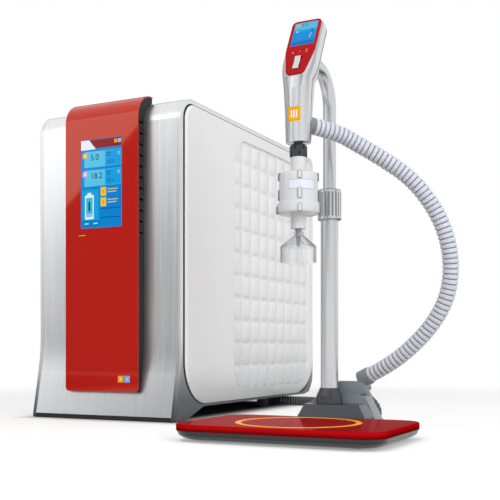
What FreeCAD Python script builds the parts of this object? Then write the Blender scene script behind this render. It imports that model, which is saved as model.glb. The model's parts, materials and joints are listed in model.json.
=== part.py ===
"""Ultrapure water system: bench cabinet, dispense stand, handset and hoses.

Millimetres.  +Z is up, the display side faces -Y and the stand is on the +X side.  The origin
lies on the bench under the middle of the whole footprint, cords left out.
Each function makes one sub-assembly and stores every piece under its own node name.
"""
import FreeCAD, Part
import math
import os

from FreeCAD import Vector

# ---------------------------------------------------------------- driving dimensions (mm)
# cabinet
CAB_H = 550.0           # height over the bench
CAB_W = 300.0           # width over the two side frames
CAB_D = 580.0           # depth from the upright front face to the rear panel
FRAME_T = 8.0           # thickness of a side frame
SHEET_T = 1.5           # steel sheet
TOP_R = 38.0            # front top bend
REAR_R = 16.0           # rear top bend
FLARE_OUT = 22.0        # how far the foot flares forward
FLARE_Z = 112.0         # height at which the flare starts
FLARE_R = 300.0         # soft bend at the start of the flare
STRIP_H = 8.0           # rubber strip under the flared foot
FOOT_BACK = 14.0        # rear end of the front foot on the bench
ARCH_Z = 22.0           # clear height under the side rail
ARCH_RUN = 78.0         # where the arch reaches that height
RIM = 10.0              # visible rim of the side frame round the cover
COVER_Z = 27.0          # lower edge of the side cover
COVER_PROUD = 4.0       # cover stands out of the frame
COVER_R = 75.0          # lower corners of the cover
COVER_TOP_R = 30.0      # upper corners of the cover
COVER_SEAT = 5.0        # depth of the cover's seat in the frame
COVER_LEDGE = 12.0      # ledge that the cover rests on
COVER_WALL = 2.5
TUCK_Z = 95.0           # below this height the cover curves inwards
TUCK_IN = 7.0           # how far it curves in at its lower edge
QUILT_Y0 = 183.0        # quilted panel, from the front face
QUILT_REAR = 38.0       # its rear edge, ahead of the rear panel
QUILT_Z0 = 47.0
QUILT_Z1 = 518.0
QUILT_R = 52.0
QUILT_COLUMNS = 9
QUILT_ROWS = 11
QUILT_RELIEF = 1.8      # height of one pillow
QUILT_BASE = 2.4        # plate behind the pillows
REAR_FOOT_Y = 185.0     # rear feet, ahead of the rear panel
REAR_FOOT_D = 24.0
PAN_FLANGE = 22.0       # upturned edge of the base pan
PORT_OUT = 16.0         # how far the rear ports stand out
WRAP_LAP = 26.0         # how far the wrap comes down at the rear
PIN_R = 3.0             # moulded pins that hold the side cover
PIN_OUT = 3.0           # how far they reach past the frame
LOUVRE_COUNT = 10
LOUVRE_PITCH = 14.0
LOUVRE_Z = 330.0
LOUVRE_W = 120.0

# rear connections
PORT_BORE = 4.1         # radius, for an 8 mm tube
PORT_BODY = 8.0         # radius through the panel
PORT_TAIL = 14.0
INLET_W = 58.0
INLET_H = 66.0
INLET_T = 2.5
INLET_DEEP = 24.0
SWITCH_W = 13.0
SWITCH_H = 19.0
SWITCH_TILT = 7.0       # the rocker rests this far to its off side

# inside the cabinet
SHELF_Z = 420.0
CARTRIDGE_R = 42.0
CARTRIDGE_Y = (200.0, 305.0, 410.0)
CARTRIDGE_TOP = 330.0
CLIP_Z = 270.0
RACK_H = 20.0
TANK_TOP = 330.0
TANK_LONG = 280.0
TANK_REAR = 35.0        # its rear wall, ahead of the rear panel
TANK_NECK_R = 30.0
TANK_CAP_H = 18.0
RO_R = 30.0
RO_TOP = 390.0
RO_Y = 85.0
UV_R = 25.0
UV_TOP = 380.0
UV_Y = 60.0
BOOSTER_Y = 175.0
RECIRC_Y = 80.0
WALL_WINDOWS = (230.0, 400.0)   # openings of the dividing wall, from the front face
SUPPLY_W = 100.0        # power supply
SUPPLY_L = 200.0
SUPPLY_H = 42.0
SUPPLY_REAR = 40.0      # its rear end, ahead of the rear panel
SUPPLY_SLOTS = 8
BOARD_W = 120.0         # control board
BOARD_L = 180.0
BOARD_T = 1.6
BOARD_LIFT = 8.0
BOARD_Y = 60.0          # its front edge, from the front face
VALVE_Y = 150.0         # valve block, from the front face
VALVE_L = 90.0
VALVE_W = 34.0
VALVE_Z = 250.0
VALVE_H = 32.0
COIL_R = 11.0
COIL_H = 36.0
BOOSTER_R = 31.0
BOOSTER_L = 84.0
RECIRC_R = 24.0
RECIRC_L = 62.0

# display fascia
FASCIA_W = 152.0
FASCIA_FRONT = 20.0     # glass face in front of the steel
FASCIA_TOP = 10.0       # glass face above the steel top
FASCIA_R = 42.0
FASCIA_Z0 = 49.0        # lower end
FASCIA_Y1 = 26.0        # free end on the top
FASCIA_CORNER = 7.0
GLASS_T = 2.0
SCREEN_W = 86.0         # active area of a 7 inch panel
SCREEN_H = 154.0
SCREEN_Z = 410.0        # middle of the screen
SCREEN_T = 8.0
VENT_COUNT = 11
VENT_PITCH = 18.8
VENT_TOP = 509.0
VENT_DEEP = 5.0

# dispense stand
STAND_GAP = 140.0       # between the cabinet's side and the tray
STAND_AHEAD = 276.0     # tray's front edge, in front of the cabinet's face
TRAY_W = 296.0
TRAY_D = 200.0
TRAY_R = 35.0
BASE_H = 15.0           # grey base under the tray
BASE_INSET = 26.0       # inset of its foot on the bench
BASE_LIP = 2.0
TRAY_H = 9.0            # red edge
TRAY_WALL = 2.5
RING_R = 86.0
RING_W = 5.0
RING_T = 0.8
REACH = 116.0           # pole axis behind the dispense axis
FOOT_TOP = 42.6         # top of the pole foot
FOOT_LEFT = 33.0        # its top, left of the pole axis
FOOT_RIGHT = 51.0       # its top, right of the pole axis, under the hose block
FOOT_FRONT = 20.5       # its top, in front of the pole axis
FOOT_REAR = 22.0        # behind the pole axis
FLARE_LEFT = 7.0        # how far its flanks run out down to the tray
FLARE_RIGHT = 12.0
FLARE_FRONT = 8.5
SADDLE_TOP = 54.5
SADDLE_LEFT = 18.0      # level top of the saddle, from the pole axis
SADDLE_RIGHT = 47.0
SADDLE_SHOULDER = (50.0, 39.0)  # rounded left shoulder: reach and height
SADDLE_TOE = 65.0       # half width of its lower edge
SADDLE_D = 36.0
SADDLE_LEAN = 8.0
COLLAR_R = 19.4
COLLAR_H = 12.0
COLLAR_TAPER = 11.5
TONGUE_REAR = 66.0      # rear end of the base, behind the pole axis
BULGE_STEPS = 4
STAND_LIFT = 1.5        # base clears the bench on its rubber feet
STAND_FOOT_R = 8.0
BALLAST_W = 220.0
BALLAST_D = 90.0
BALLAST_T = 6.0
BLOCK_D = 30.0          # hose block
BLOCK_TOP = 74.5
BLOCK_LEFT = 22.0       # its ends, from the pole axis
BLOCK_RIGHT = 40.0
BLOCK_NOSE = 50.0       # tip of its slanting right end
SOCKET_R = 12.0         # socket of the dark hose
SOCKET_LONG = 28.0

# telescopic pole
TUBE_SEAT = 6.0         # lower end of the pole in the base
LOWER_R = 13.0
LOWER_WALL = 2.0
LOWER_TOP = 336.0
UPPER_R = 9.5
UPPER_WALL = 1.5
UPPER_BOTTOM = 150.0    # lower end of the upper tube at rest
NECK_R = 47.0           # bend at the top
NECK_Z = 524.0          # axis of the tube where it meets the handset
NECK_END = 19.0         # where the tube ends in the handset, behind the dispense axis
KNOB_R = 17.5
KNOB_Z0 = 312.0
KNOB_Z1 = 357.0
KNOB_FLUTES = 20
FIT = 0.08              # running clearance of the telescoping tube and the knob

# handset, on the dispense axis
GRIP_Z0 = 402.0         # lower end
GRIP_W0 = 33.0
GRIP_D0 = 28.0
GRIP_FRONT = 14.0       # its face, in front of the axis
HEAD_W = 47.0
HEAD_D = 21.0
HEAD_TILT = 28.0        # degrees
FACE_Z = 490.3          # lower end of the tilted face
FACE_Y = -13.0          # its place in front of the axis
FACE_L = 102.0
SHELL_WALL = 2.4
GASKET_T = 1.4
PLATE_L = 98.0
PLATE_HALF = 21.7
PLATE_KNEE = 41.0       # where the plate reaches its full width
PLATE_FOOT_HALF = 13.0
PLATE_T = 1.6
LCD_W = 34.6
LCD_L = 43.0
ROCKER_W = 8.6
ROCKER_L = 22.0
ROCKER_S = 20.0         # middle of the rocker, up from the plate's lower end
ROCKER_RISE = 2.4
ROCKER_PLAY = 0.5       # clearance round the rocker
PIVOT_IN = 4.0          # rocker's axis behind the tilted face
PIVOT_R = 1.2
EAR_T = 2.2             # ears that carry the rocker's pins
SWITCH_PIN_R = 1.5
SWITCH_PIVOT = 4.0      # mains rocker's axis behind the inlet's face
PLATE_S = 2.0           # plate's lower end, up the tilted face
LCD_S = 73.2            # middle of the display, up from the plate's lower end
SPLIT_Y = 1.5           # parting line, behind the dispense axis
PORT_R = 12.5
PORT_LONG = 10.0        # how far its body reaches into the grip

# filter and bell, on the dispense axis
SPIGOT_R = 6.1
NUT_R = 12.0
NUT_TOP = 399.5
NUT_H = 17.0
CAPSULE_TOP = 364.5
CAPSULE_SEAM = 321.0
CAPSULE_BOTTOM = 304.0
CAPSULE_R = 26.2
CUP_R = 28.6
CAPSULE_WALL = 3.0
NECK_TUBE_R = 9.5
OUTLET_R = 10.5
OUTLET_Z = 285.5
BARB_TIP_Z = 262.0
BARB_R = 4.6
BARB_STEPS = 5
BELL_R = 24.5
BELL_Z0 = 240.7
BELL_SHOULDER = 261.7
BELL_TOP = 282.0
BELL_WALL = 1.2

# hoses
HOSE_R = 11.5           # light upper hose
LINK_R = 10.0           # dark hose to the cabinet
GLAND_W = 30.0
HOSE_ROUTE = [          # light hose, from the pole axis and over the bench
    (14, -98, 427.5), (38, -69, 423), (60, -48, 409), (91, -28, 389), (125, -10, 363),
    (152, 4, 327), (170, 13, 285), (176, 20, 240), (169, 24, 196), (147, 27, 158),
    (114, 30, 124), (78, 34, 98), (49, 39, 84)]
LINK_ROUTE = [          # dark hose, from the same axis and height
    (35, 60, 48), (41, 71, 40), (44, 80, 30), (41, 90, 20), (31, 104, 12), (16, 127, 10),
    (-10, 170, 10), (-56, 258, 10), (-104, 322, 10), (-144, 385, 10), (-172, 440, 10),
    (-198, 490, 10)]
LINK_TAIL = [           # its end, from the cabinet's right front corner
    (54, 468, 10), (10, 480, 10), (-34, 480, 10)]

GAP = 0.3               # clearance between neighbouring pieces

# ---------------------------------------------------------------- places worked out from them
TOTAL_W = COVER_PROUD + CAB_W + STAND_GAP + TRAY_W
TOTAL_D = STAND_AHEAD + CAB_D + PORT_OUT
CAB_L = -TOTAL_W / 2 + COVER_PROUD
CAB_R = CAB_L + CAB_W
CAB_X = (CAB_L + CAB_R) / 2
CAB_F = -TOTAL_D / 2 + STAND_AHEAD
CAB_B = CAB_F + CAB_D
TRAY_X = TOTAL_W / 2 - TRAY_W / 2
TRAY_Y = -TOTAL_D / 2 + TRAY_D / 2
POLE_X = TRAY_X
POLE_Y = TRAY_Y + REACH
TRAY_TOP = BASE_H + TRAY_H
INNER_L = CAB_L + FRAME_T
INNER_R = CAB_R - FRAME_T
PAN_Z = ARCH_Z + 2.0
PAN_FRONT = CAB_F + FOOT_BACK + 6
FLOOR_Z = PAN_Z + SHEET_T
MID_X = CAB_X
SHELF_TOP = SHELF_Z + SHEET_T
CARTRIDGE_X = MID_X + 72
TANK_X0 = INNER_L + 12
TANK_X1 = MID_X - 14
RO_X = INNER_L + 52
UV_X = INNER_R - 52
BOOSTER_X = INNER_L + 75
RECIRC_X = MID_X + 36
FEED_AT = (INNER_R - 50, 110.0)
DRAIN_AT = (INNER_R - 50, 160.0)
INLET_AT = (INNER_L + 60, 110.0)
NECK_END_Y = TRAY_Y + NECK_END
PORT_EXIT = Vector(POLE_X + HOSE_ROUTE[0][0], POLE_Y + HOSE_ROUTE[0][1], HOSE_ROUTE[0][2])
PORT_AIM = Vector(24, 29, -4.5).normalize()
LINK_EXIT = Vector(POLE_X + LINK_ROUTE[0][0], POLE_Y + LINK_ROUTE[0][1], LINK_ROUTE[0][2])
LINK_AIM = Vector(6, 11, -8).normalize()
HOSE_END = Vector(POLE_X + HOSE_ROUTE[-1][0], POLE_Y + HOSE_ROUTE[-1][1], HOSE_ROUTE[-1][2])
HOSE_AIM = Vector(29, -5, 14).normalize()

os.makedirs("parts", exist_ok=True)
nodes = {}


def keep(name, *solids):
    """Store one node, as one shape or as a group of separate solids."""
    nodes[name] = solids[0] if len(solids) == 1 else Part.makeCompound(list(solids))


# ---------------------------------------------------------------- helpers
def box(x0, x1, y0, y1, z0, z1):
    return Part.makeBox(x1 - x0, y1 - y0, z1 - z0, Vector(x0, y0, z0))


def cylinder(radius, start, end):
    axis = end - start
    return Part.makeCylinder(radius, axis.Length, start, axis)


def upright(radius, x, y, z0, z1):
    return cylinder(radius, Vector(x, y, z0), Vector(x, y, z1))


def corner_arc(before, here, after, radius):
    """Start, middle and end of the arc that rounds a corner."""
    a = (before - here).normalize()
    b = (after - here).normalize()
    half = a.getAngle(b) / 2
    inward = (a + b).normalize()
    centre = here + inward * (radius / math.sin(half))
    cut = radius / math.tan(half)
    return here + a * cut, centre - inward * radius, here + b * cut


def rounded_edges(points, radii, closed=True):
    """Edges of a polyline whose corners are rounded by tangent arcs."""
    count = len(points)
    arcs = []
    for i, (here, radius) in enumerate(zip(points, radii)):
        ends_here = not closed and i in (0, count - 1)
        if radius <= 0 or ends_here:
            arcs.append((here, None, here))
        else:
            arcs.append(corner_arc(points[i - 1], here, points[(i + 1) % count], radius))
    edges = []
    for i, (start, middle, end) in enumerate(arcs):
        if middle is not None:
            edges.append(Part.Arc(start, middle, end).toShape())
        if closed or i < count - 1:
            following = arcs[(i + 1) % count][0]
            if (following - end).Length > 1e-6:
                edges.append(Part.LineSegment(end, following).toShape())
    return edges


def place(plane, at, u, v):
    """A point of a drawing plane: u and v are the plane's own two axes in X, Y, Z order."""
    return {"xy": Vector(u, v, at), "xz": Vector(u, at, v), "yz": Vector(at, u, v)}[plane]


def outline(plane, at, corners):
    """Closed wire from (u, v, radius) corners in a drawing plane."""
    points = [place(plane, at, u, v) for u, v, _ in corners]
    return Part.Wire(rounded_edges(points, [radius for _, _, radius in corners]))


def slab(plane, start, end, corners):
    """A plate with a rounded outline, between two levels of its plane's normal."""
    return Part.Face(outline(plane, start, corners)).extrude(place(plane, end - start, 0, 0))


def rectangle(u0, u1, v0, v1, radius):
    return [(u0, v0, radius), (u1, v0, radius), (u1, v1, radius), (u0, v1, radius)]


def offset_corners(corners, distance):
    """An open chain of corners moved to its left; bends keep one centre."""
    moved = []
    for i, (u, v, radius) in enumerate(corners):
        normals = []
        for a, b in ((i - 1, i), (i, i + 1)):
            if a >= 0 and b < len(corners):
                du = corners[b][0] - corners[a][0]
                dv = corners[b][1] - corners[a][1]
                length = math.hypot(du, dv)
                normals.append((-dv / length, du / length))
        first, last = normals[0], normals[-1]
        share = distance / (1 + first[0] * last[0] + first[1] * last[1])
        turn = first[0] * last[1] - first[1] * last[0]
        grown = radius - math.copysign(distance, turn) if radius else 0
        moved.append((u + (first[0] + last[0]) * share, v + (first[1] + last[1]) * share, grown))
    return moved


def folded_sheet(plane, start, end, corners, thickness):
    """A bent sheet: an open chain of corners, thickened to its left and extruded."""
    inner = offset_corners(corners, thickness)
    edges = []
    for chain in (corners, inner):
        points = [place(plane, start, u, v) for u, v, _ in chain]
        edges.append(rounded_edges(points, [radius for _, _, radius in chain], closed=False))
    ends = []
    for index in (0, -1):
        ends.append(Part.LineSegment(place(plane, start, *corners[index][:2]),
                                     place(plane, start, *inner[index][:2])).toShape())
    loop = Part.sortEdges(edges[0] + edges[1] + ends)[0]
    return Part.Face(Part.Wire(loop)).extrude(place(plane, end - start, 0, 0))


def turned(profile, x, y):
    """A solid of revolution round an upright axis, from (radius, z, corner radius)."""
    wire = outline("xz", 0, profile)
    solid = Part.Face(wire).revolve(Vector(0, 0, 0), Vector(0, 0, 1), 360)
    solid.translate(Vector(x, y, 0))
    return solid


def ring(outer, inner, x, y, z0, z1):
    return upright(outer, x, y, z0, z1).cut(upright(inner, x, y, z0 - 1, z1 + 1))


def mirrored(shape):
    """The same piece on the cabinet's other side."""
    return shape.mirror(Vector(CAB_X, 0, 0), Vector(1, 0, 0))


def centred(plane, start, end, u, v, width, height, radius):
    half_w, half_h = width / 2, height / 2
    return slab(plane, start, end, rectangle(u - half_w, u + half_w, v - half_h, v + half_h, radius))


def route(points):
    """Path of a hose: straight runs joined by arcs as large as the runs allow."""
    radii = [0.0]
    for before, here, after in zip(points, points[1:], points[2:]):
        a, b = before - here, after - here
        turn = math.pi - a.getAngle(b)
        radii.append(0.45 * min(a.Length, b.Length) / math.tan(turn / 2))
    radii.append(0.0)
    return Part.Wire(rounded_edges(points, radii, closed=False)), radii[1:-1]


def hose(name, points, radius):
    """A plain tube along its route; prints its length, volume check and bend radii."""
    path, radii = route(points)
    start = (points[1] - points[0]).normalize()
    section = Part.Wire(Part.makeCircle(radius, points[0], start))
    tube = path.makePipeShell([section], True, False)
    ratio = tube.Volume / (math.pi * radius ** 2 * path.Length)
    print(name, "length", round(path.Length), "volume ratio", round(ratio, 4),
          "radii", [round(r) for r in radii])
    return tube


# ---------------------------------------------------------------- cabinet shell
def cabinet_corners(inset=0.0):
    """Side view of the cabinet, from the flared foot over the top to the rear."""
    front = CAB_F + inset
    return [(CAB_F - FLARE_OUT + inset, 0, 4),
            (front, FLARE_Z, FLARE_R),
            (front, CAB_H - inset, TOP_R - inset),
            (CAB_B - inset, CAB_H - inset, REAR_R)]


def cover_corners(grow=0.0):
    """Outline of a side cover, seen from the side."""
    front = CAB_F + RIM - grow
    rear = CAB_B - RIM + grow
    low = COVER_Z - grow
    high = CAB_H - RIM + grow
    return [(front, low, COVER_R + grow), (rear, low, COVER_R + grow),
            (rear, high, COVER_TOP_R + grow), (front, high, COVER_TOP_R + grow)]


def make_side_frames():
    """Moulded end frames: rim, arched foot, seat and service window for the cover."""
    side = cabinet_corners()
    corners = [side[0], (CAB_F + FOOT_BACK, 0, 4), (CAB_F + ARCH_RUN, ARCH_Z, 40),
               (CAB_B, ARCH_Z, 45), side[3], side[2], side[1]]
    frame = slab("yz", INNER_R, CAB_R, corners)
    rim_edges = [edge for edge in frame.Edges
                 if all(abs(vertex.X - CAB_R) < 1e-3 for vertex in edge.Vertexes)]
    frame = frame.makeFillet(RIM / 4, rim_edges)
    seat = slab("yz", CAB_R - COVER_SEAT, CAB_R + 1, cover_corners(GAP * 2))
    window = slab("yz", INNER_R - 1, CAB_R + 1, cover_corners(-COVER_LEDGE))
    for y, z in catch_places():
        window = window.fuse(cylinder(PIN_R + 2, Vector(INNER_R - 1, y, z), Vector(CAB_R, y, z)))
    rail_cut = box(CAB_R - TUCK_IN / 2, CAB_R + 1, CAB_F + ARCH_RUN, CAB_B + 1, 0, COVER_Z)
    frame = frame.cut(seat).cut(window).cut(rail_cut)
    keep("side_frame_right", frame)
    keep("side_frame_left", mirrored(frame))


def catch_places():
    """Where the cover's pins snap into the frame's ledge."""
    y0, y1 = CAB_F + RIM + COVER_LEDGE / 2, CAB_B - RIM - COVER_LEDGE / 2
    return [(y, z) for y in (y0, y1) for z in (COVER_R + 60, CAB_H - 90)]


def tuck_cutter():
    """What lies outside the curved lower flank of a cover."""
    face = CAB_R + COVER_PROUD
    drop = TUCK_Z - COVER_Z
    radius = (drop ** 2 + TUCK_IN ** 2) / (2 * TUCK_IN)
    level = COVER_Z + drop / 2
    half = face - radius + math.sqrt(radius ** 2 - (drop / 2) ** 2)
    at = CAB_F - 1
    top, low = Vector(face, at, TUCK_Z), Vector(face - TUCK_IN, at, COVER_Z)
    outer = [Vector(face - TUCK_IN, at, COVER_Z - 5), Vector(face + 20, at, COVER_Z - 5),
             Vector(face + 20, at, TUCK_Z)]
    edges = [Part.Arc(top, Vector(half, at, level), low).toShape()]
    chain = [low] + outer + [top]
    for a, b in zip(chain, chain[1:]):
        edges.append(Part.LineSegment(a, b).toShape())
    return Part.Face(Part.Wire(edges)).extrude(Vector(0, CAB_D + 2, 0))


def quilt_corners(grow=0.0):
    return rectangle(CAB_F + QUILT_Y0 - grow, CAB_B - QUILT_REAR + grow,
                     QUILT_Z0 - grow, QUILT_Z1 + grow, QUILT_R + grow)


def ridged(plane, at, end, start, stop, count, floor, base, relief):
    """A slab whose face rises and falls in straight ridges, one per cell."""
    pitch = (stop - start) / count
    profile = [(floor, start), (floor + base, start)]
    for i in range(count):
        profile.append((floor + base + relief, start + (i + 0.5) * pitch))
        profile.append((floor + base, start + (i + 1) * pitch))
    profile.append((floor, stop))
    points = [place(plane, at, u, v) for u, v in profile]
    face = Part.Face(Part.makePolygon(points + points[:1]))
    return face.extrude(place(plane, end - at, 0, 0))


def make_side_covers():
    """Pull-off side covers, each with a quilted panel let into its rear part."""
    back, face = CAB_R - COVER_SEAT + GAP, CAB_R + COVER_PROUD
    cover = slab("yz", back, face, cover_corners())
    outer_edges = [edge for edge in cover.Edges
                   if all(abs(vertex.X - face) < 1e-3 for vertex in edge.Vertexes)]
    cover = cover.makeFillet(COVER_PROUD, outer_edges)
    cover = cover.cut(tuck_cutter())
    recess_floor = face - QUILT_BASE - QUILT_RELIEF - GAP
    hollow = slab("yz", back - 1, recess_floor - COVER_WALL, cover_corners(-COVER_LEDGE / 2))
    cover = cover.cut(hollow).cut(slab("yz", recess_floor, face + 1, quilt_corners(GAP)))
    plain = slab("yz", back - 1, face - COVER_WALL,
                 rectangle(CAB_F + RIM + COVER_LEDGE, CAB_F + QUILT_Y0 - COVER_WALL - GAP,
                           TUCK_Z, CAB_H - RIM - COVER_LEDGE, 18))
    cover = cover.cut(plain)
    y0, y1 = CAB_F + QUILT_Y0, CAB_B - QUILT_REAR
    floor = recess_floor + GAP
    columns = ridged("xy", QUILT_Z0, QUILT_Z1, y0, y1, QUILT_COLUMNS, floor,
                     QUILT_BASE - 1, QUILT_RELIEF)
    rows = ridged("xz", y0, y1, QUILT_Z0, QUILT_Z1, QUILT_ROWS, floor,
                  QUILT_BASE - 1, QUILT_RELIEF)
    quilt = columns.common(rows).common(slab("yz", floor - 1, face + 5, quilt_corners()))
    for y, z in catch_places():
        pin = cylinder(PIN_R, Vector(recess_floor, y, z), Vector(INNER_R - PIN_OUT, y, z))
        cover = cover.fuse(pin)
    keep("side_cover_right", cover)
    keep("side_cover_left", mirrored(cover))
    keep("quilted_panel_right", quilt)
    keep("quilted_panel_left", mirrored(quilt))


def make_wrap():
    """Brushed steel wrap, foot strip and rear feet."""
    x0, x1 = INNER_L + GAP, INNER_R - GAP
    lean = FLARE_OUT / FLARE_Z
    chain = [(CAB_F - FLARE_OUT + lean * STRIP_H, STRIP_H, 0),
             (CAB_F, FLARE_Z, FLARE_R),
             (CAB_F, CAB_H, TOP_R),
             (CAB_B, CAB_H, REAR_R),
             (CAB_B, CAB_H - WRAP_LAP, 0)]
    catches = []
    for y, z in catch_places():
        at = Vector(CAB_R - COVER_SEAT - GAP, y, z)
        inner_face = Vector(INNER_R, y, z)
        sleeve = cylinder(PIN_R + 2 - 0.05, inner_face, at)
        flange = cylinder(PIN_R + 4, inner_face - Vector(1.5, 0, 0), inner_face)
        bore = cylinder(PIN_R + GAP, inner_face - Vector(5, 0, 0), at + Vector(5, 0, 0))
        catch = sleeve.fuse(flange).cut(bore)
        catches += [catch, mirrored(catch)]
    keep("cover_catches", *catches)
    keep("front_wrap", folded_sheet("yz", x0, x1, chain[::-1], SHEET_T))
    strip = slab("yz", x0, x1, [(CAB_F - FLARE_OUT + 1.5, 0, 2), (CAB_F + FOOT_BACK, 0, 2),
                                (CAB_F + FOOT_BACK, STRIP_H - GAP, 1),
                                (CAB_F - FLARE_OUT + 2.5, STRIP_H - GAP, 1)])
    keep("foot_strip", strip)
    feet = []
    for x in (INNER_L + 30, INNER_R - 30):
        feet.append(turned([(0, 0, 0), (REAR_FOOT_D / 2 - 2, 0, 1.5), (REAR_FOOT_D / 2, 5, 1),
                            (REAR_FOOT_D / 2, PAN_Z - GAP, 0), (0, PAN_Z - GAP, 0)],
                           x, CAB_B - REAR_FOOT_Y))
    keep("rear_feet", *feet)


def make_base_pan():
    """Folded floor pan with a vented floor."""
    x0, x1 = INNER_L + GAP, INNER_R - GAP
    y0, y1 = PAN_FRONT, CAB_B - SHEET_T - GAP
    pan = box(x0, x1, y0, y1, PAN_Z, PAN_Z + PAN_FLANGE)
    hollow = box(x0 + SHEET_T, x1 - SHEET_T, y0 + SHEET_T, y1 - SHEET_T,
                 FLOOR_Z, PAN_Z + PAN_FLANGE + 1)
    pan = pan.cut(hollow)
    slots = []
    for i in range(6):
        y = CAB_B - 140 + i * 12
        slots.append(centred("xy", PAN_Z - 1, FLOOR_Z + 1, CAB_X - 80, y, 60, 5, 2.4))
    for slot in slots:
        pan = pan.cut(slot)
    keep("base_pan", pan)


def make_rear_panel():
    """Rear panel with louvre slots and openings for the inlet and the ports."""
    z1 = CAB_H - WRAP_LAP - GAP
    panel = slab("xz", CAB_B - SHEET_T, CAB_B,
                 rectangle(INNER_L + GAP, INNER_R - GAP, PAN_Z, z1, 3))
    for i in range(LOUVRE_COUNT):
        z = LOUVRE_Z + i * LOUVRE_PITCH
        panel = panel.cut(centred("xz", CAB_B - 5, CAB_B + 5, CAB_X, z, LOUVRE_W, 5, 2.4))
    for x, z in (FEED_AT, DRAIN_AT):
        panel = panel.cut(cylinder(PORT_BODY + GAP, Vector(x, CAB_B - 5, z),
                                   Vector(x, CAB_B + 5, z)))
    x, z = INLET_AT
    panel = panel.cut(centred("xz", CAB_B - 5, CAB_B + 5, x, z,
                              INLET_W - 8 + 2 * GAP, INLET_H - 8 + 2 * GAP, 2))
    keep("rear_panel", panel)


def bulkhead_port(at):
    """Push-in bulkhead port for an 8 mm tube, pointing to the rear."""
    x, z = at
    profile = [(PORT_BORE, 0, 0), (PORT_BORE, PORT_OUT, 0), (PORT_BODY - 1.5, PORT_OUT, 1),
               (PORT_BODY - 1.5, 8, 0), (PORT_BODY + 3, 8, 1), (PORT_BODY + 3, 0, 0)]
    front = turned(profile, 0, 0)
    tail = turned([(PORT_BORE - 1, -PORT_TAIL, 0), (PORT_BORE - 1, 0, 0), (PORT_BODY, 0, 0),
                   (PORT_BODY, -PORT_TAIL, 1)], 0, 0)
    port = front.fuse(tail)
    port.rotate(Vector(0, 0, 0), Vector(1, 0, 0), -90)
    port.translate(Vector(x, CAB_B, z))
    return port


def make_power_inlet():
    """Mains inlet with its three blades, and the rocker switch above it."""
    x, z = INLET_AT
    plate = centred("xz", CAB_B, CAB_B + INLET_T, x, z, INLET_W, INLET_H, 4)
    body = centred("xz", CAB_B - INLET_DEEP, CAB_B, x, z, INLET_W - 8, INLET_H - 8, 2)
    inlet = plate.fuse(body)
    socket_z = z - 12
    half_w, half_h, cut = 12.1, 8.4, 5.0
    mouth = [(x - half_w, socket_z - half_h, 1), (x + half_w, socket_z - half_h, 1),
             (x + half_w, socket_z + half_h - cut, 0.8), (x + half_w - cut, socket_z + half_h, 0.8),
             (x - half_w + cut, socket_z + half_h, 0.8), (x - half_w, socket_z + half_h - cut, 0.8)]
    inlet = inlet.cut(slab("xz", CAB_B - 17, CAB_B + 5, mouth))
    for shift, rise in ((-7, -2), (7, -2), (0, 2)):
        inlet = inlet.fuse(box(x + shift - 1, x + shift + 1, CAB_B - 18, CAB_B - 6,
                               socket_z + rise - 2, socket_z + rise + 2))
    switch_z = z + 16
    inlet = inlet.cut(centred("xz", CAB_B - 13, CAB_B + 5, x, switch_z,
                              SWITCH_W + 2 * GAP, SWITCH_H + 4 * GAP, 0.8))
    crown = CAB_B + INLET_T
    pin_half = SWITCH_W / 2 + 2
    pin_y = crown - SWITCH_PIVOT
    inlet = inlet.cut(cylinder(SWITCH_PIN_R + FIT, Vector(x - pin_half - GAP, pin_y, switch_z),
                               Vector(x + pin_half + GAP, pin_y, switch_z)))
    keep("power_inlet", inlet)
    rocker = [(crown - 9, switch_z - 4, 2), (crown - 9, switch_z + 4, 2),
              (crown - 1, switch_z + SWITCH_H / 2, 1), (crown + 2.5, switch_z + SWITCH_H / 2 - 0.5, 0.8),
              (crown + 0.5, switch_z, 6), (crown + 2.5, switch_z - SWITCH_H / 2 + 0.5, 0.8),
              (crown - 1, switch_z - SWITCH_H / 2, 1)]
    rocker = slab("yz", x - SWITCH_W / 2, x + SWITCH_W / 2, rocker)
    rocker.rotate(Vector(x, pin_y, switch_z), Vector(1, 0, 0), -SWITCH_TILT)
    pin = cylinder(SWITCH_PIN_R, Vector(x - pin_half, pin_y, switch_z),
                   Vector(x + pin_half, pin_y, switch_z))
    keep("power_switch", rocker.fuse(pin))


def fascia_chain(rise=0.0):
    """Side view of the glass face, from its lower end up and over the top."""
    return [(CAB_F - FASCIA_FRONT + rise, FASCIA_Z0, 0),
            (CAB_F - FASCIA_FRONT + rise, CAB_H + FASCIA_TOP - rise, FASCIA_R - rise),
            (CAB_F + FASCIA_Y1, CAB_H + FASCIA_TOP - rise, 0)]


def fascia_block(rise, grow):
    """Everything between the glass face, sunk by rise, and the cabinet skin."""
    chain = fascia_chain(rise)
    closed = chain + [(CAB_F + FASCIA_Y1, CAB_H - 60, 0), (CAB_F + FASCIA_Y1, FASCIA_Z0, 0)]
    block = slab("yz", CAB_X - FASCIA_W / 2 + grow, CAB_X + FASCIA_W / 2 - grow, closed)
    skin = slab("yz", CAB_L, CAB_R, closed_cabinet(-GAP))
    return block.cut(skin)


def closed_cabinet(inset):
    side = cabinet_corners(inset)
    toe = side[0][0]
    return [(toe, -5, 0), (CAB_B, -5, 0)] + side[::-1][:-1] + [(toe, 0, 0)]


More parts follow.
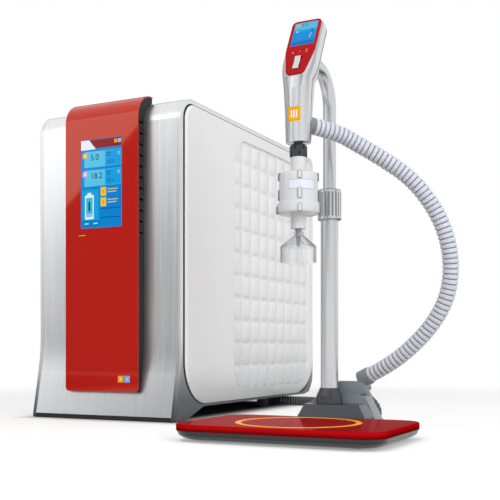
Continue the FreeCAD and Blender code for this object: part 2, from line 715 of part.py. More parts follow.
def make_fascia():
    """Display fascia: vented housing, bent glass and the touch screen let into it."""
    housing = fascia_block(GLASS_T + GAP, 1.0)
    for i in range(VENT_COUNT):
        z = VENT_TOP - i * VENT_PITCH
        vent = centred("yz", CAB_X - FASCIA_W, CAB_X + FASCIA_W, CAB_F - 9, z, 11, 3.4, 1.6)
        core = box(CAB_X - FASCIA_W / 2 + VENT_DEEP, CAB_X + FASCIA_W / 2 - VENT_DEEP,
                   CAB_F - 30, CAB_F + 10, z - 5, z + 5)
        housing = housing.cut(vent.cut(core))
    face = CAB_F - FASCIA_FRONT
    pocket = centred("xz", face - 1, face + SCREEN_T + 2 * GAP, CAB_X, SCREEN_Z,
                     SCREEN_W + 2 * GAP, SCREEN_H + 2 * GAP, 2 + GAP)
    housing = housing.cut(pocket)
    keep("fascia_housing", housing)
    glass = folded_sheet("yz", CAB_X - FASCIA_W / 2, CAB_X + FASCIA_W / 2,
                         fascia_chain()[::-1], GLASS_T)
    lower = outline("xz", face - 1, rectangle(CAB_X - FASCIA_W / 2, CAB_X + FASCIA_W / 2,
                                             FASCIA_Z0, CAB_H + 40, FASCIA_CORNER))
    glass = glass.common(Part.Face(lower).extrude(Vector(0, 120, 0)))
    glass = glass.cut(pocket)
    keep("fascia_glass", glass)
    screen = centred("xz", face + 0.2, face + SCREEN_T + GAP, CAB_X, SCREEN_Z,
                     SCREEN_W, SCREEN_H, 2)
    keep("touch_screen", screen)


# ---------------------------------------------------------------- inside the cabinet
def make_chassis():
    """Dividing wall and equipment shelf."""
    wall = folded_sheet("xz", PAN_FRONT + 20, CAB_B - 20,
                        [(MID_X, FLOOR_Z, 0), (MID_X, SHELF_Z, 3), (MID_X + 40, SHELF_Z, 0)][::-1],
                        SHEET_T)
    for y in WALL_WINDOWS:
        wall = wall.cut(centred("yz", MID_X - 5, MID_X + 5, CAB_F + y, 120, 80, 50, 12))
    keep("dividing_wall", wall)
    shelf = box(INNER_L + GAP, INNER_R - GAP, CAB_F + 40, CAB_B - 12, SHELF_Z, SHELF_Z + 14)
    hollow = box(INNER_L + GAP + SHEET_T, INNER_R - GAP - SHEET_T, CAB_F + 40 + SHEET_T,
                 CAB_B - 12 - SHEET_T, SHELF_TOP, SHELF_Z + 20)
    keep("equipment_shelf", shelf.cut(hollow))


def make_cartridges():
    """Three treatment cartridges in their moulded rack on the service side."""
    rack = slab("xy", FLOOR_Z, FLOOR_Z + RACK_H,
                rectangle(CARTRIDGE_X - CARTRIDGE_R - 8, CARTRIDGE_X + CARTRIDGE_R + 8,
                          CAB_F + CARTRIDGE_Y[0] - CARTRIDGE_R - 8,
                          CAB_F + CARTRIDGE_Y[-1] + CARTRIDGE_R + 8, 12))
    rail = box(MID_X + SHEET_T + GAP, MID_X + 10, CAB_F + CARTRIDGE_Y[0] - 40,
               CAB_F + CARTRIDGE_Y[-1] + 40, CLIP_Z, CLIP_Z + 22)
    cartridges = []
    for place_y in CARTRIDGE_Y:
        y = CAB_F + place_y
        rack = rack.cut(upright(CARTRIDGE_R + GAP, CARTRIDGE_X, y, FLOOR_Z + 4, FLOOR_Z + 60))
        clip = ring(CARTRIDGE_R + 4, CARTRIDGE_R + GAP, CARTRIDGE_X, y, CLIP_Z, CLIP_Z + 22)
        rail = rail.fuse(box(MID_X + SHEET_T + GAP, CARTRIDGE_X - CARTRIDGE_R, y - 14, y + 14,
                             CLIP_Z, CLIP_Z + 22))
        rail = rail.fuse(clip.cut(box(CARTRIDGE_X + 12, CARTRIDGE_X + 80, y - 60, y + 60,
                                      CLIP_Z - 1, CLIP_Z + 30)))
        rail = rail.cut(upright(CARTRIDGE_R + GAP, CARTRIDGE_X, y, CLIP_Z - 1, CLIP_Z + 30))
        body = [(0, FLOOR_Z + 4, 0), (CARTRIDGE_R, FLOOR_Z + 4, 6),
                (CARTRIDGE_R, CARTRIDGE_TOP, 5), (CARTRIDGE_R + 3, CARTRIDGE_TOP, 2),
                (CARTRIDGE_R + 3, CARTRIDGE_TOP + 14, 3), (24, CARTRIDGE_TOP + 22, 6),
                (10, CARTRIDGE_TOP + 24, 2), (8, CARTRIDGE_TOP + 44, 2), (0, CARTRIDGE_TOP + 44, 0)]
        cartridges.append(turned(body, CARTRIDGE_X, y))
    keep("pretreatment_cartridge", cartridges[0])
    keep("polishing_cartridges", *cartridges[1:])
    keep("cartridge_rack", rack, rail)


def make_wet_side():
    """Tank, membrane housing, lamp chamber, pumps and valves."""
    tank_y = CAB_B - TANK_REAR - TANK_LONG
    tank = slab("xy", FLOOR_Z, TANK_TOP,
                rectangle(TANK_X0, TANK_X1, tank_y, tank_y + TANK_LONG, 18))
    tank = tank.makeFillet(6, [e for e in tank.Edges if all(abs(v.Z - TANK_TOP) < 1e-3
                                                           for v in e.Vertexes)])
    neck_x, neck_y = (TANK_X0 + TANK_X1) / 2, tank_y + 2 * TANK_NECK_R
    seat = TANK_TOP + 12
    tank = tank.fuse(upright(TANK_NECK_R, neck_x, neck_y, TANK_TOP - 2, seat))
    cap = turned([(0, seat, 0), (TANK_NECK_R + 3, seat, 0), (TANK_NECK_R + 3, seat + TANK_CAP_H, 3),
                  (12, seat + TANK_CAP_H + 2, 2), (6, seat + TANK_CAP_H + 10, 1),
                  (0, seat + TANK_CAP_H + 10, 0)], neck_x, neck_y)
    keep("reservoir_tank", tank.fuse(cap))
    vessel = [(0, FLOOR_Z, 0), (RO_R + 3, FLOOR_Z, 2), (RO_R + 3, FLOOR_Z + 26, 2),
              (RO_R, FLOOR_Z + 30, 0), (RO_R, RO_TOP - 30, 0), (RO_R + 3, RO_TOP - 26, 2),
              (RO_R + 3, RO_TOP, 3), (9, RO_TOP, 0), (9, RO_TOP + 14, 1), (0, RO_TOP + 14, 0)]
    keep("ro_module", turned(vessel, RO_X, CAB_F + RO_Y))
    lamp = [(0, FLOOR_Z, 0), (UV_R + 4, FLOOR_Z, 2), (UV_R + 4, FLOOR_Z + 12, 2),
            (UV_R, FLOOR_Z + 12, 0), (UV_R, UV_TOP - 12, 0), (UV_R + 4, UV_TOP - 12, 2),
            (UV_R + 4, UV_TOP, 2), (15, UV_TOP, 0), (13, UV_TOP + 18, 3), (0, UV_TOP + 18, 0)]
    keep("uv_chamber", turned(lamp, UV_X, CAB_F + UV_Y))
    make_pump("booster_pump", BOOSTER_X, CAB_F + BOOSTER_Y, BOOSTER_R, BOOSTER_L)
    make_pump("recirculation_pump", RECIRC_X, CAB_F + RECIRC_Y, RECIRC_R, RECIRC_L)
    outer_x, block_top = MID_X - VALVE_W, VALVE_Z + VALVE_H
    block = box(outer_x, MID_X - GAP, CAB_F + VALVE_Y, CAB_F + VALVE_Y + VALVE_L,
                VALVE_Z, block_top)
    for i in range(3):
        y = CAB_F + VALVE_Y + VALVE_L * (i + 0.5) / 3
        coil = upright(COIL_R, MID_X - VALVE_W / 2 - 1, y, block_top, block_top + COIL_H)
        cover = box(outer_x + 3, MID_X - 5, y - COIL_R + 2, y + COIL_R - 2,
                    block_top + 6, block_top + COIL_H - 6)
        stub_z = VALVE_Z + VALVE_H / 2
        stub = cylinder(5, Vector(outer_x, y, stub_z), Vector(outer_x - 14, y, stub_z))
        block = block.fuse(coil).fuse(cover).fuse(stub)
    keep("valve_manifold", block)


def make_pump(name, x, y, radius, length):
    """Diaphragm pump: motor can, square head and foot plate."""
    axis_z = FLOOR_Z + radius + 8
    foot = slab("xy", FLOOR_Z, FLOOR_Z + 4, rectangle(x - radius, x + radius, y - length / 2 + 6,
                                                      y + length / 2 - 6, 6))
    web = box(x - radius / 2, x + radius / 2, y - length / 2 + 8, y + length / 2 - 8,
              FLOOR_Z + 3, axis_z)
    can = cylinder(radius, Vector(x, y - length / 2, axis_z), Vector(x, y + length / 2, axis_z))
    head = centred("xz", y + length / 2, y + length / 2 + radius, x, axis_z,
                   2 * radius - 2, 2 * radius - 2, 6)
    port = cylinder(5, Vector(x - radius - 6, y + length / 2 + radius / 2, axis_z),
                    Vector(x + radius + 6, y + length / 2 + radius / 2, axis_z))
    keep(name, foot.fuse(web).fuse(can).fuse(head).fuse(port))


def make_dry_side():
    """Power supply and control board on the shelf."""
    x0, y0 = INNER_L + 20, CAB_B - SUPPLY_REAR - SUPPLY_L
    top = SHELF_TOP + SUPPLY_H
    supply = box(x0, x0 + SUPPLY_W, y0, y0 + SUPPLY_L, SHELF_TOP, top)
    for i in range(SUPPLY_SLOTS):
        y = y0 + SUPPLY_L * (i + 1) / (SUPPLY_SLOTS + 1)
        supply = supply.cut(box(x0 + 10, x0 + SUPPLY_W - 10, y - 3, y + 3, top - 4, top + 1))
    keep("power_supply", supply)
    x0, y0 = CAB_X - 10, CAB_F + BOARD_Y
    board_z = SHELF_TOP + BOARD_LIFT
    board = box(x0, x0 + BOARD_W, y0, y0 + BOARD_L, board_z, board_z + BOARD_T)
    for x in (x0 + 6, x0 + BOARD_W - 6):
        for y in (y0 + 6, y0 + BOARD_L - 6):
            board = board.fuse(upright(3, x, y, SHELF_TOP, board_z))
    for dx, dy, w, d, h in ((20, 24, 30, 30, 3), (70, 20, 14, 44, 12), (24, 90, 60, 18, 16),
                            (20, 130, 22, 30, 10), (64, 128, 36, 12, 9)):
        board = board.fuse(box(x0 + dx, x0 + dx + w, y0 + dy, y0 + dy + d,
                               board_z + BOARD_T, board_z + BOARD_T + h))
    keep("control_board", board)


# ---------------------------------------------------------------- dispense stand
def plan_wire(x0, x1, y0, y1, radius, z):
    return outline("xy", z, rectangle(x0, x1, y0, y1, radius))


def bulged_base(x0, x1, y0, y1, radius, inset):
    """A plate whose flank is a quarter round drawn in towards the bench."""
    wires = []
    for step in range(BULGE_STEPS + 1):
        angle = math.pi / 2 * step / BULGE_STEPS
        cut = inset * (1 - math.sin(angle))
        z = STAND_LIFT + (BASE_H - BASE_LIP - STAND_LIFT) * (1 - math.cos(angle))
        wires.append(plan_wire(x0 + cut, x1 - cut, y0 + cut, y1 - cut, radius - cut * 0.6, z))
    wires.append(plan_wire(x0, x1, y0, y1, radius, BASE_H))
    return Part.makeLoft(wires, True, True)


def make_stand():
    x0, x1 = TRAY_X - TRAY_W / 2, TRAY_X + TRAY_W / 2
    y0, y1 = TRAY_Y - TRAY_D / 2, TRAY_Y + TRAY_D / 2
    base = bulged_base(x0 + 1, x1 - 1, y0 + 1, y1 - 1, TRAY_R, BASE_INSET)
    tongue = bulged_base(POLE_X - SADDLE_TOE, POLE_X + SADDLE_TOE, y1 - 60,
                         POLE_Y + TONGUE_REAR, 16, 8)
    base = base.fuse(tongue).removeSplitter()
    for fx, fy in stand_foot_places():
        base = base.cut(upright(STAND_FOOT_R + GAP, fx, fy, 0, STAND_LIFT + 2))
    base = base.cut(box(TRAY_X - BALLAST_W / 2 - GAP, TRAY_X + BALLAST_W / 2 + GAP,
                        TRAY_Y - BALLAST_D / 2 - GAP, TRAY_Y + BALLAST_D / 2 + GAP,
                        0, STAND_LIFT + BALLAST_T + GAP))
    base = base.cut(upright(LOWER_R + GAP, POLE_X, POLE_Y, TUBE_SEAT, BASE_H + 1))
    keep("stand_base", base)
    pads = [turned([(0, 0, 0), (STAND_FOOT_R - 1, 0, 0.8), (STAND_FOOT_R, STAND_LIFT + 2 - GAP, 0),
                    (0, STAND_LIFT + 2 - GAP, 0)], fx, fy) for fx, fy in stand_foot_places()]
    keep("stand_feet", *pads)
    ballast = slab("xy", STAND_LIFT + 0.2, STAND_LIFT + BALLAST_T,
                   rectangle(TRAY_X - BALLAST_W / 2, TRAY_X + BALLAST_W / 2,
                             TRAY_Y - BALLAST_D / 2, TRAY_Y + BALLAST_D / 2, 4))
    keep("ballast_plate", ballast)
    tray = slab("xy", BASE_H, TRAY_TOP, rectangle(x0, x1, y0, y1, TRAY_R))
    tray = tray.makeFillet(2, [e for e in tray.Edges if all(abs(v.Z - TRAY_TOP) < 1e-3
                                                           for v in e.Vertexes)])
    groove = ring(RING_R + GAP / 2, RING_R - RING_W - GAP / 2, TRAY_X, TRAY_Y,
                  TRAY_TOP - RING_T, TRAY_TOP + 1)
    well = slab("xy", BASE_H - 1, TRAY_TOP - TRAY_WALL,
                rectangle(x0 + TRAY_WALL, x1 - TRAY_WALL, y0 + TRAY_WALL, y1 - TRAY_WALL,
                          TRAY_R - TRAY_WALL))
    keep("tray_cover", tray.cut(groove).cut(well))
    keep("ring_inlay", ring(RING_R, RING_R - RING_W, TRAY_X, TRAY_Y, TRAY_TOP - RING_T + 0.02,
                            TRAY_TOP + 0.2))


def stand_foot_places():
    dx, dy = TRAY_W / 2 - BASE_INSET - 16, TRAY_D / 2 - BASE_INSET - 16
    places = [(TRAY_X + sx * dx, TRAY_Y + sy * dy) for sx in (-1, 1) for sy in (-1, 1)]
    return places + [(POLE_X, POLE_Y + TONGUE_REAR - 24)]


def make_pole_foot():
    """Tapered foot, the saddle behind it, the hose block and the collar."""
    left, right = POLE_X - FOOT_LEFT, POLE_X + FOOT_RIGHT
    front, rear = POLE_Y - FOOT_FRONT, POLE_Y + FOOT_REAR
    wires = [plan_wire(left - FLARE_LEFT, right + FLARE_RIGHT, front - FLARE_FRONT, rear, 7, TRAY_TOP),
             plan_wire(left, right, front, rear, 5, FOOT_TOP)]
    foot = Part.makeLoft(wires, True, True)
    heel = slab("xy", BASE_H, TRAY_TOP,
                rectangle(left - FLARE_LEFT + 2, right + FLARE_RIGHT - 2,
                          TRAY_Y + TRAY_D / 2 + GAP, rear, 3))
    foot = foot.fuse(heel)
    foot = foot.cut(upright(LOWER_R + GAP, POLE_X, POLE_Y, BASE_H - 1, FOOT_TOP + 1))
    keep("pole_foot", foot)
    y0, y1 = rear + GAP, rear + SADDLE_D
    reach, height = SADDLE_SHOULDER
    saddle = slab("xz", y0, y1,
                  [(POLE_X - SADDLE_TOE, BASE_H, 2), (POLE_X + SADDLE_TOE, BASE_H, 2),
                   (POLE_X + SADDLE_RIGHT, SADDLE_TOP, 8), (POLE_X - SADDLE_LEFT, SADDLE_TOP, 8),
                   (POLE_X - reach, height, 12)])
    leaning = slab("yz", POLE_X - 100, POLE_X + 100,
                   [(y0 - 1, BASE_H - 1, 0), (y1 + 1, BASE_H - 1, 0), (y1, BASE_H, 0),
                    (y1 - SADDLE_LEAN, SADDLE_TOP, 6), (y0 - 1, SADDLE_TOP, 0)])
    notch = cylinder(SOCKET_R + GAP, LINK_EXIT - LINK_AIM * SOCKET_LONG, LINK_EXIT + LINK_AIM * 20)
    keep("hose_saddle", saddle.common(leaning).cut(notch))
    collar = turned([(LOWER_R + FIT, FOOT_TOP, 0), (COLLAR_R, FOOT_TOP, 1),
                     (COLLAR_R, FOOT_TOP + COLLAR_H, 1.5),
                     (LOWER_R + 1.2, FOOT_TOP + COLLAR_H + COLLAR_TAPER, 0),
                     (LOWER_R + FIT, FOOT_TOP + COLLAR_H + COLLAR_TAPER, 0)], POLE_X, POLE_Y)
    keep("pole_collar", collar)


def make_hose_block():
    """Block on the saddle that joins the two hoses."""
    y0 = POLE_Y + FOOT_REAR + 3
    block = slab("xz", y0, y0 + BLOCK_D,
                 [(POLE_X - BLOCK_LEFT, SADDLE_TOP, 3), (POLE_X + BLOCK_RIGHT, SADDLE_TOP, 3),
                  (POLE_X + BLOCK_NOSE, BLOCK_TOP - 6, 8), (POLE_X + BLOCK_RIGHT - 2, BLOCK_TOP, 8),
                  (POLE_X - BLOCK_LEFT, BLOCK_TOP, 4)])
    socket = cylinder(SOCKET_R, LINK_EXIT - LINK_AIM * SOCKET_LONG, LINK_EXIT)
    collar = cylinder(HOSE_R + 1.5, HOSE_END - HOSE_AIM * 16, HOSE_END)
    keep("hose_block", block.fuse(socket).fuse(collar))


def make_pole():
    """Lower tube, clamp and the bent upper tube."""
    keep("lower_tube", ring(LOWER_R, LOWER_R - LOWER_WALL, POLE_X, POLE_Y, TUBE_SEAT, LOWER_TOP))
    plug = LOWER_R - LOWER_WALL - 0.05
    collet = turned([(UPPER_R + FIT, LOWER_TOP - 20, 0), (plug, LOWER_TOP - 20, 0),
                     (plug, LOWER_TOP, 0), (LOWER_R, LOWER_TOP, 0),
                     (LOWER_R - 2, KNOB_Z1 - 5, 0), (UPPER_R + FIT, KNOB_Z1 - 5, 0)], POLE_X, POLE_Y)
    for angle in (0, 120, 240):
        slit = box(POLE_X, POLE_X + 20, POLE_Y - 0.6, POLE_Y + 0.6, LOWER_TOP + 2, KNOB_Z1)
        slit.rotate(Vector(POLE_X, POLE_Y, 0), Vector(0, 0, 1), angle)
        collet = collet.cut(slit)
    keep("clamp_collet", collet)
    knob = turned([(LOWER_R + FIT, KNOB_Z0, 0), (KNOB_R - 1, KNOB_Z0, 1), (KNOB_R, KNOB_Z0 + 2, 0),
                   (KNOB_R, KNOB_Z1 - 2, 0), (KNOB_R - 1.5, KNOB_Z1, 1), (UPPER_R + 1, KNOB_Z1, 0),
                   (UPPER_R + 1, KNOB_Z1 - 3, 0), (LOWER_R + FIT, KNOB_Z1 - 6, 0)], POLE_X, POLE_Y)
    for i in range(KNOB_FLUTES):
        angle = 2 * math.pi * i / KNOB_FLUTES
        x = POLE_X + (KNOB_R + 0.7) * math.cos(angle)
        y = POLE_Y + (KNOB_R + 0.7) * math.sin(angle)
        knob = knob.cut(upright(1.5, x, y, KNOB_Z0 + 5, KNOB_Z1 - 5))
    keep("clamp_knob", knob)
    bend = Vector(POLE_X, POLE_Y - NECK_R, NECK_Z - NECK_R)
    tip = Vector(POLE_X, NECK_END_Y, NECK_Z)
    low = Vector(POLE_X, POLE_Y, UPPER_BOTTOM)
    start = Vector(POLE_X, POLE_Y, NECK_Z - NECK_R)
    slant = NECK_R / math.sqrt(2)
    middle = bend + Vector(0, slant, slant)
    end = Vector(POLE_X, POLE_Y - NECK_R, NECK_Z)
    path = Part.Wire([Part.LineSegment(low, start).toShape(), Part.Arc(start, middle, end).toShape(),
                      Part.LineSegment(end, tip).toShape()])
    walls = []
    for radius in (UPPER_R, UPPER_R - UPPER_WALL):
        circle = Part.Wire(Part.makeCircle(radius, low, Vector(0, 0, 1)))
        walls.append(path.makePipeShell([circle], True, False))
    keep("upper_tube", walls[0].cut(walls[1]))


# ---------------------------------------------------------------- handset
def handset_sections(inset):
    """Rows of front edge, height, depth, width, tilt and corner, from the grip up to the head."""
    sine, cosine = math.sin(math.radians(HEAD_TILT)), math.cos(math.radians(HEAD_TILT))

    def head(s, sink, depth, width, corner):
        return (FACE_Y + s * sine + sink * cosine, FACE_Z + s * cosine - sink * sine,
                depth, width, HEAD_TILT, corner)

    rows = [(-GRIP_FRONT, GRIP_Z0 + inset, GRIP_D0, GRIP_W0, 0, 11),
            (-15.2, 446, 33, 35.5, 0, 13),
            (-15.2, 474, 34.5, 38, 5, 12),
            (FACE_Y, FACE_Z, 30, 40, 15, 8),
            head(12, 0, 26, HEAD_W - 2, 5),
            head(26, 0, 23, HEAD_W + 1.5, 5),
            head(44, 0, HEAD_D, HEAD_W + 1, 4.5),
            head(FACE_L - 8 - inset, 0, HEAD_D, HEAD_W, 4.5),
            head(FACE_L - 3 - inset, 0.8, HEAD_D - 2.5, HEAD_W - 3, 4.5),
            head(FACE_L - inset, 3, HEAD_D - 7, HEAD_W - 9, 3.5)]
    wires = []
    for y, z, depth, width, tilt, corner in rows:
        half_w, half_d = width / 2 - inset, depth / 2 - inset
        radius = corner - inset * 0.8
        wire = outline("xy", 0, rectangle(-half_w, half_w, -half_d, half_d, radius))
        wire.translate(Vector(0, half_d + inset, 0))
        wire.rotate(Vector(0, 0, 0), Vector(1, 0, 0), -tilt)
        wire.translate(Vector(TRAY_X, TRAY_Y + y, z))
        wires.append(wire)
    return Part.makeLoft(wires, True, True)


def split_region(front, rear):
    """Slab between two lines that run up the handset and tilt with its head."""
    sine, cosine = math.sin(math.radians(HEAD_TILT)), math.cos(math.radians(HEAD_TILT))
    reach = 130
    points = []
    for offset in (front, rear):
        knee = (TRAY_Y + offset, FACE_Z - 6)
        tip = (knee[0] + reach * sine, knee[1] + reach * cosine)
        points.append([(TRAY_Y + offset, GRIP_Z0 - 20, 0), (knee[0], knee[1], 0), (tip[0], tip[1], 0)])
    return slab("yz", TRAY_X - 60, TRAY_X + 60, points[0] + points[1][::-1])


def on_face(shape):
    """Moves a piece from its flat drawing to the tilted face of the head."""
    shape.rotate(Vector(0, 0, 0), Vector(1, 0, 0), -HEAD_TILT)
    sine, cosine = math.sin(math.radians(HEAD_TILT)), math.cos(math.radians(HEAD_TILT))
    shape.translate(Vector(TRAY_X, TRAY_Y + FACE_Y + PLATE_S * sine, FACE_Z + PLATE_S * cosine))
    return shape


def make_handset():
    outer = handset_sections(0)
    inner = handset_sections(SHELL_WALL)
    shell = outer.cut(inner)
    port_hole = cylinder(PORT_R - 3, PORT_EXIT - PORT_AIM * 26, PORT_EXIT)
    neck_hole = cylinder(UPPER_R + GAP, Vector(POLE_X, NECK_END_Y - 4, NECK_Z),
                         Vector(POLE_X, NECK_END_Y + 60, NECK_Z))
    lcd_hole = on_face(centred("xz", -10, 10, 0, LCD_S, LCD_W + GAP, LCD_L + GAP, 1.5))
    rocker_hole = on_face(centred("xz", -10, 10, 0, ROCKER_S, ROCKER_W + 2 * ROCKER_PLAY + GAP,
                                  ROCKER_L + 2 * ROCKER_PLAY + GAP, 0.4))
    spigot_hole = upright(SPIGOT_R + GAP, TRAY_X, TRAY_Y, GRIP_Z0 - 5, GRIP_Z0 + 10)
    front = shell.common(split_region(-60, SPLIT_Y - GASKET_T / 2 - GAP / 2))
    front = front.cut(lcd_hole).cut(rocker_hole).cut(spigot_hole).cut(port_hole)
    reach = ROCKER_W / 2 + ROCKER_PLAY
    bearing = cylinder(PIVOT_R + FIT, Vector(-reach - 10, PIVOT_IN, ROCKER_S),
                       Vector(reach + 10, PIVOT_IN, ROCKER_S))
    for side in (-1, 1):
        middle = side * (reach + EAR_T / 2)
        ear = box(middle - EAR_T / 2, middle + EAR_T / 2, SHELL_WALL / 2, PIVOT_IN + 3,
                  ROCKER_S - 3, ROCKER_S + 3)
        front = front.fuse(on_face(ear.cut(bearing)))
    keep("handset_front_shell", front)
    gasket = shell.common(split_region(SPLIT_Y - GASKET_T / 2, SPLIT_Y + GASKET_T / 2))
    keep("handset_gasket", gasket.cut(port_hole).cut(spigot_hole))
    rear = shell.common(split_region(SPLIT_Y + GASKET_T / 2 + GAP / 2, 80))
    boss = cylinder(UPPER_R + 3.5, Vector(POLE_X, NECK_END_Y - 2, NECK_Z),
                    Vector(POLE_X, NECK_END_Y + 9, NECK_Z))
    rear = rear.fuse(boss.cut(split_region(-60, SPLIT_Y + 2)))
    keep("handset_rear_shell", rear.cut(neck_hole).cut(port_hole).cut(spigot_hole))
    port = cylinder(PORT_R - 3 - GAP, PORT_EXIT - PORT_AIM * PORT_LONG, PORT_EXIT)
    cone = Part.makeCone(PORT_R, PORT_R - 1.5, 14, PORT_EXIT - PORT_AIM * 14, PORT_AIM)
    keep("handset_port", port.fuse(cone.cut(outer)))
    plate_points = [(-PLATE_FOOT_HALF, 0, 6), (PLATE_FOOT_HALF, 0, 6),
                    (PLATE_HALF, PLATE_KNEE, 30), (PLATE_HALF, PLATE_L, 7),
                    (-PLATE_HALF, PLATE_L, 7), (-PLATE_HALF, PLATE_KNEE, 30)]
    plate = slab("xz", -PLATE_T, -0.02, plate_points)
    window = centred("xz", -10, 10, 0, LCD_S, LCD_W + GAP, LCD_L + GAP, 1.5)
    slot = centred("xz", -10, 10, 0, ROCKER_S, ROCKER_W + 2 * ROCKER_PLAY,
                   ROCKER_L + 2 * ROCKER_PLAY, 0.4)
    keep("face_plate", on_face(plate.cut(window).cut(slot)))
    keep("handset_display", on_face(centred("xz", -PLATE_T + 0.2, 6, 0, LCD_S, LCD_W, LCD_L, 1.2)))
    crown = -PLATE_T - ROCKER_RISE
    rocker = slab("yz", -ROCKER_W / 2, ROCKER_W / 2,
                  [(PIVOT_IN + 2, ROCKER_S - 3, 1.5), (PIVOT_IN + 2, ROCKER_S + 3, 1.5),
                   (-PLATE_T, ROCKER_S + ROCKER_L / 2, 0.8),
                   (crown, ROCKER_S + ROCKER_L / 2 - 1, 1), (crown + 1.2, ROCKER_S, 12),
                   (crown, ROCKER_S - ROCKER_L / 2 + 1, 1),
                   (-PLATE_T, ROCKER_S - ROCKER_L / 2, 0.8)][::-1])
    pin_end = reach + EAR_T
    pin = cylinder(PIVOT_R, Vector(-pin_end, PIVOT_IN, ROCKER_S), Vector(pin_end, PIVOT_IN, ROCKER_S))
    keep("dispense_rocker", on_face(rocker.fuse(pin)))
    valve = upright(9, TRAY_X, TRAY_Y, GRIP_Z0 + SHELL_WALL + 0.3, GRIP_Z0 + 40)
    spigot = ring(SPIGOT_R, 2.5, TRAY_X, TRAY_Y, NUT_TOP - NUT_H + 0.3, GRIP_Z0 + 6)
    valve = valve.fuse(spigot)
    coil = box(TRAY_X - 10, TRAY_X + 10, TRAY_Y - 8, TRAY_Y + 8, GRIP_Z0 + 34, GRIP_Z0 + 62)
    valve = valve.fuse(coil)
    keep("dispense_valve", valve)


# ---------------------------------------------------------------- filter and bell
def make_filter():
    x, y = TRAY_X, TRAY_Y
    nut = turned([(SPIGOT_R + GAP, NUT_TOP - NUT_H, 0), (NUT_R - 1, NUT_TOP - NUT_H, 0.8),
                  (NUT_R, NUT_TOP - NUT_H + 1.5, 0), (NUT_R, NUT_TOP - 2.5, 0), (NUT_R - 2.5, NUT_TOP, 1),
                  (SPIGOT_R + GAP, NUT_TOP, 0)], x, y)
    for i in range(6):
        low = box(x - 0.9, x + 0.9, y - NUT_R - 1, y - NUT_R + 2.5, NUT_TOP - 7, NUT_TOP + 1)
        low.rotate(Vector(x, y, 0), Vector(0, 0, 1), 60 * i)
        high = box(x - 0.9, x + 0.9, y - NUT_R - 1, y - NUT_R + 2.5, NUT_TOP - NUT_H - 1,
                   NUT_TOP - NUT_H + 6)
        high.rotate(Vector(x, y, 0), Vector(0, 0, 1), 60 * i + 30)
        nut = nut.cut(low).cut(high)
    keep("union_nut", nut)
    neck_top = NUT_TOP - NUT_H
    upper = turned([(3, neck_top, 0), (NECK_TUBE_R, neck_top, 0.5), (NECK_TUBE_R, CAPSULE_TOP, 2),
                    (CAPSULE_R, CAPSULE_TOP, 6), (CAPSULE_R, CAPSULE_SEAM + GAP, 0),
                    (CAPSULE_R - CAPSULE_WALL, CAPSULE_SEAM + GAP, 0),
                    (CAPSULE_R - CAPSULE_WALL, CAPSULE_TOP - CAPSULE_WALL, 4),
                    (3, CAPSULE_TOP - CAPSULE_WALL, 0)], x, y)
    lower = turned([(CUP_R - CAPSULE_WALL, CAPSULE_SEAM, 0), (CUP_R, CAPSULE_SEAM, 0.8),
                    (CUP_R, CAPSULE_BOTTOM, 5), (OUTLET_R, CAPSULE_BOTTOM, 2), (OUTLET_R, OUTLET_Z, 1),
                    (3, OUTLET_Z, 0), (3, CAPSULE_BOTTOM + CAPSULE_WALL, 0),
                    (CUP_R - CAPSULE_WALL, CAPSULE_BOTTOM + CAPSULE_WALL, 3)], x, y)
    for angle in (0, 90, 180, 270):
        rib = slab("xz", y - CAPSULE_R - 1.4, y - CAPSULE_R + 1.5,
                   [(x - 2.5, CAPSULE_TOP - 12, 0), (x, CAPSULE_TOP - 15, 0),
                    (x + 2.5, CAPSULE_TOP - 12, 0),
                    (x + 2.5, CAPSULE_TOP - 3, 1), (x - 2.5, CAPSULE_TOP - 3, 1)])
        rib.rotate(Vector(x, y, 0), Vector(0, 0, 1), angle)
        upper = upper.fuse(rib)
        lug = slab("xz", y - CUP_R - 1.4, y - CUP_R + 1.5,
                   rectangle(x - 2.5, x + 2.5, CAPSULE_BOTTOM + 2, CAPSULE_BOTTOM + 11, 2))
        lug.rotate(Vector(x, y, 0), Vector(0, 0, 1), angle)
        lower = lower.fuse(lug)
    keep("filter_housing_upper", upper)
    membrane = ring(CAPSULE_R - CAPSULE_WALL - 1, 7, x, y, CAPSULE_BOTTOM + CAPSULE_WALL + 0.1,
                    CAPSULE_TOP - CAPSULE_WALL - 5)
    keep("filter_membrane", membrane)
    step = (OUTLET_Z - BARB_TIP_Z) / BARB_STEPS
    barb = [(1.4, BARB_TIP_Z, 0)]
    for i in range(BARB_STEPS):
        radius = BARB_R - (BARB_STEPS - 1 - i) * 0.35
        barb.append((radius - 0.7, BARB_TIP_Z + i * step, 0))
        barb.append((radius, BARB_TIP_Z + (i + 0.8) * step, 0))
    barb += [(BARB_R, OUTLET_Z + 1, 0), (1.4, OUTLET_Z + 1, 0)]
    keep("filter_housing_lower", lower.fuse(turned(barb, x, y)))
    wall = BELL_WALL
    bell = turned([(BARB_R + FIT, BELL_TOP, 0), (BARB_R + 2.4, BELL_TOP, 0.4),
                   (BARB_R + 2.6, BELL_TOP - 5, 2),
                   (BELL_R, BELL_SHOULDER, 4), (BELL_R, BELL_Z0, 0), (BELL_R - wall, BELL_Z0, 0),
                   (BELL_R - wall, BELL_SHOULDER - 1, 3), (BARB_R + 1.4, BELL_TOP - 6.5, 1),
                   (BARB_R + FIT, BELL_TOP - 4, 0)], x, y)
    keep("bell", bell)


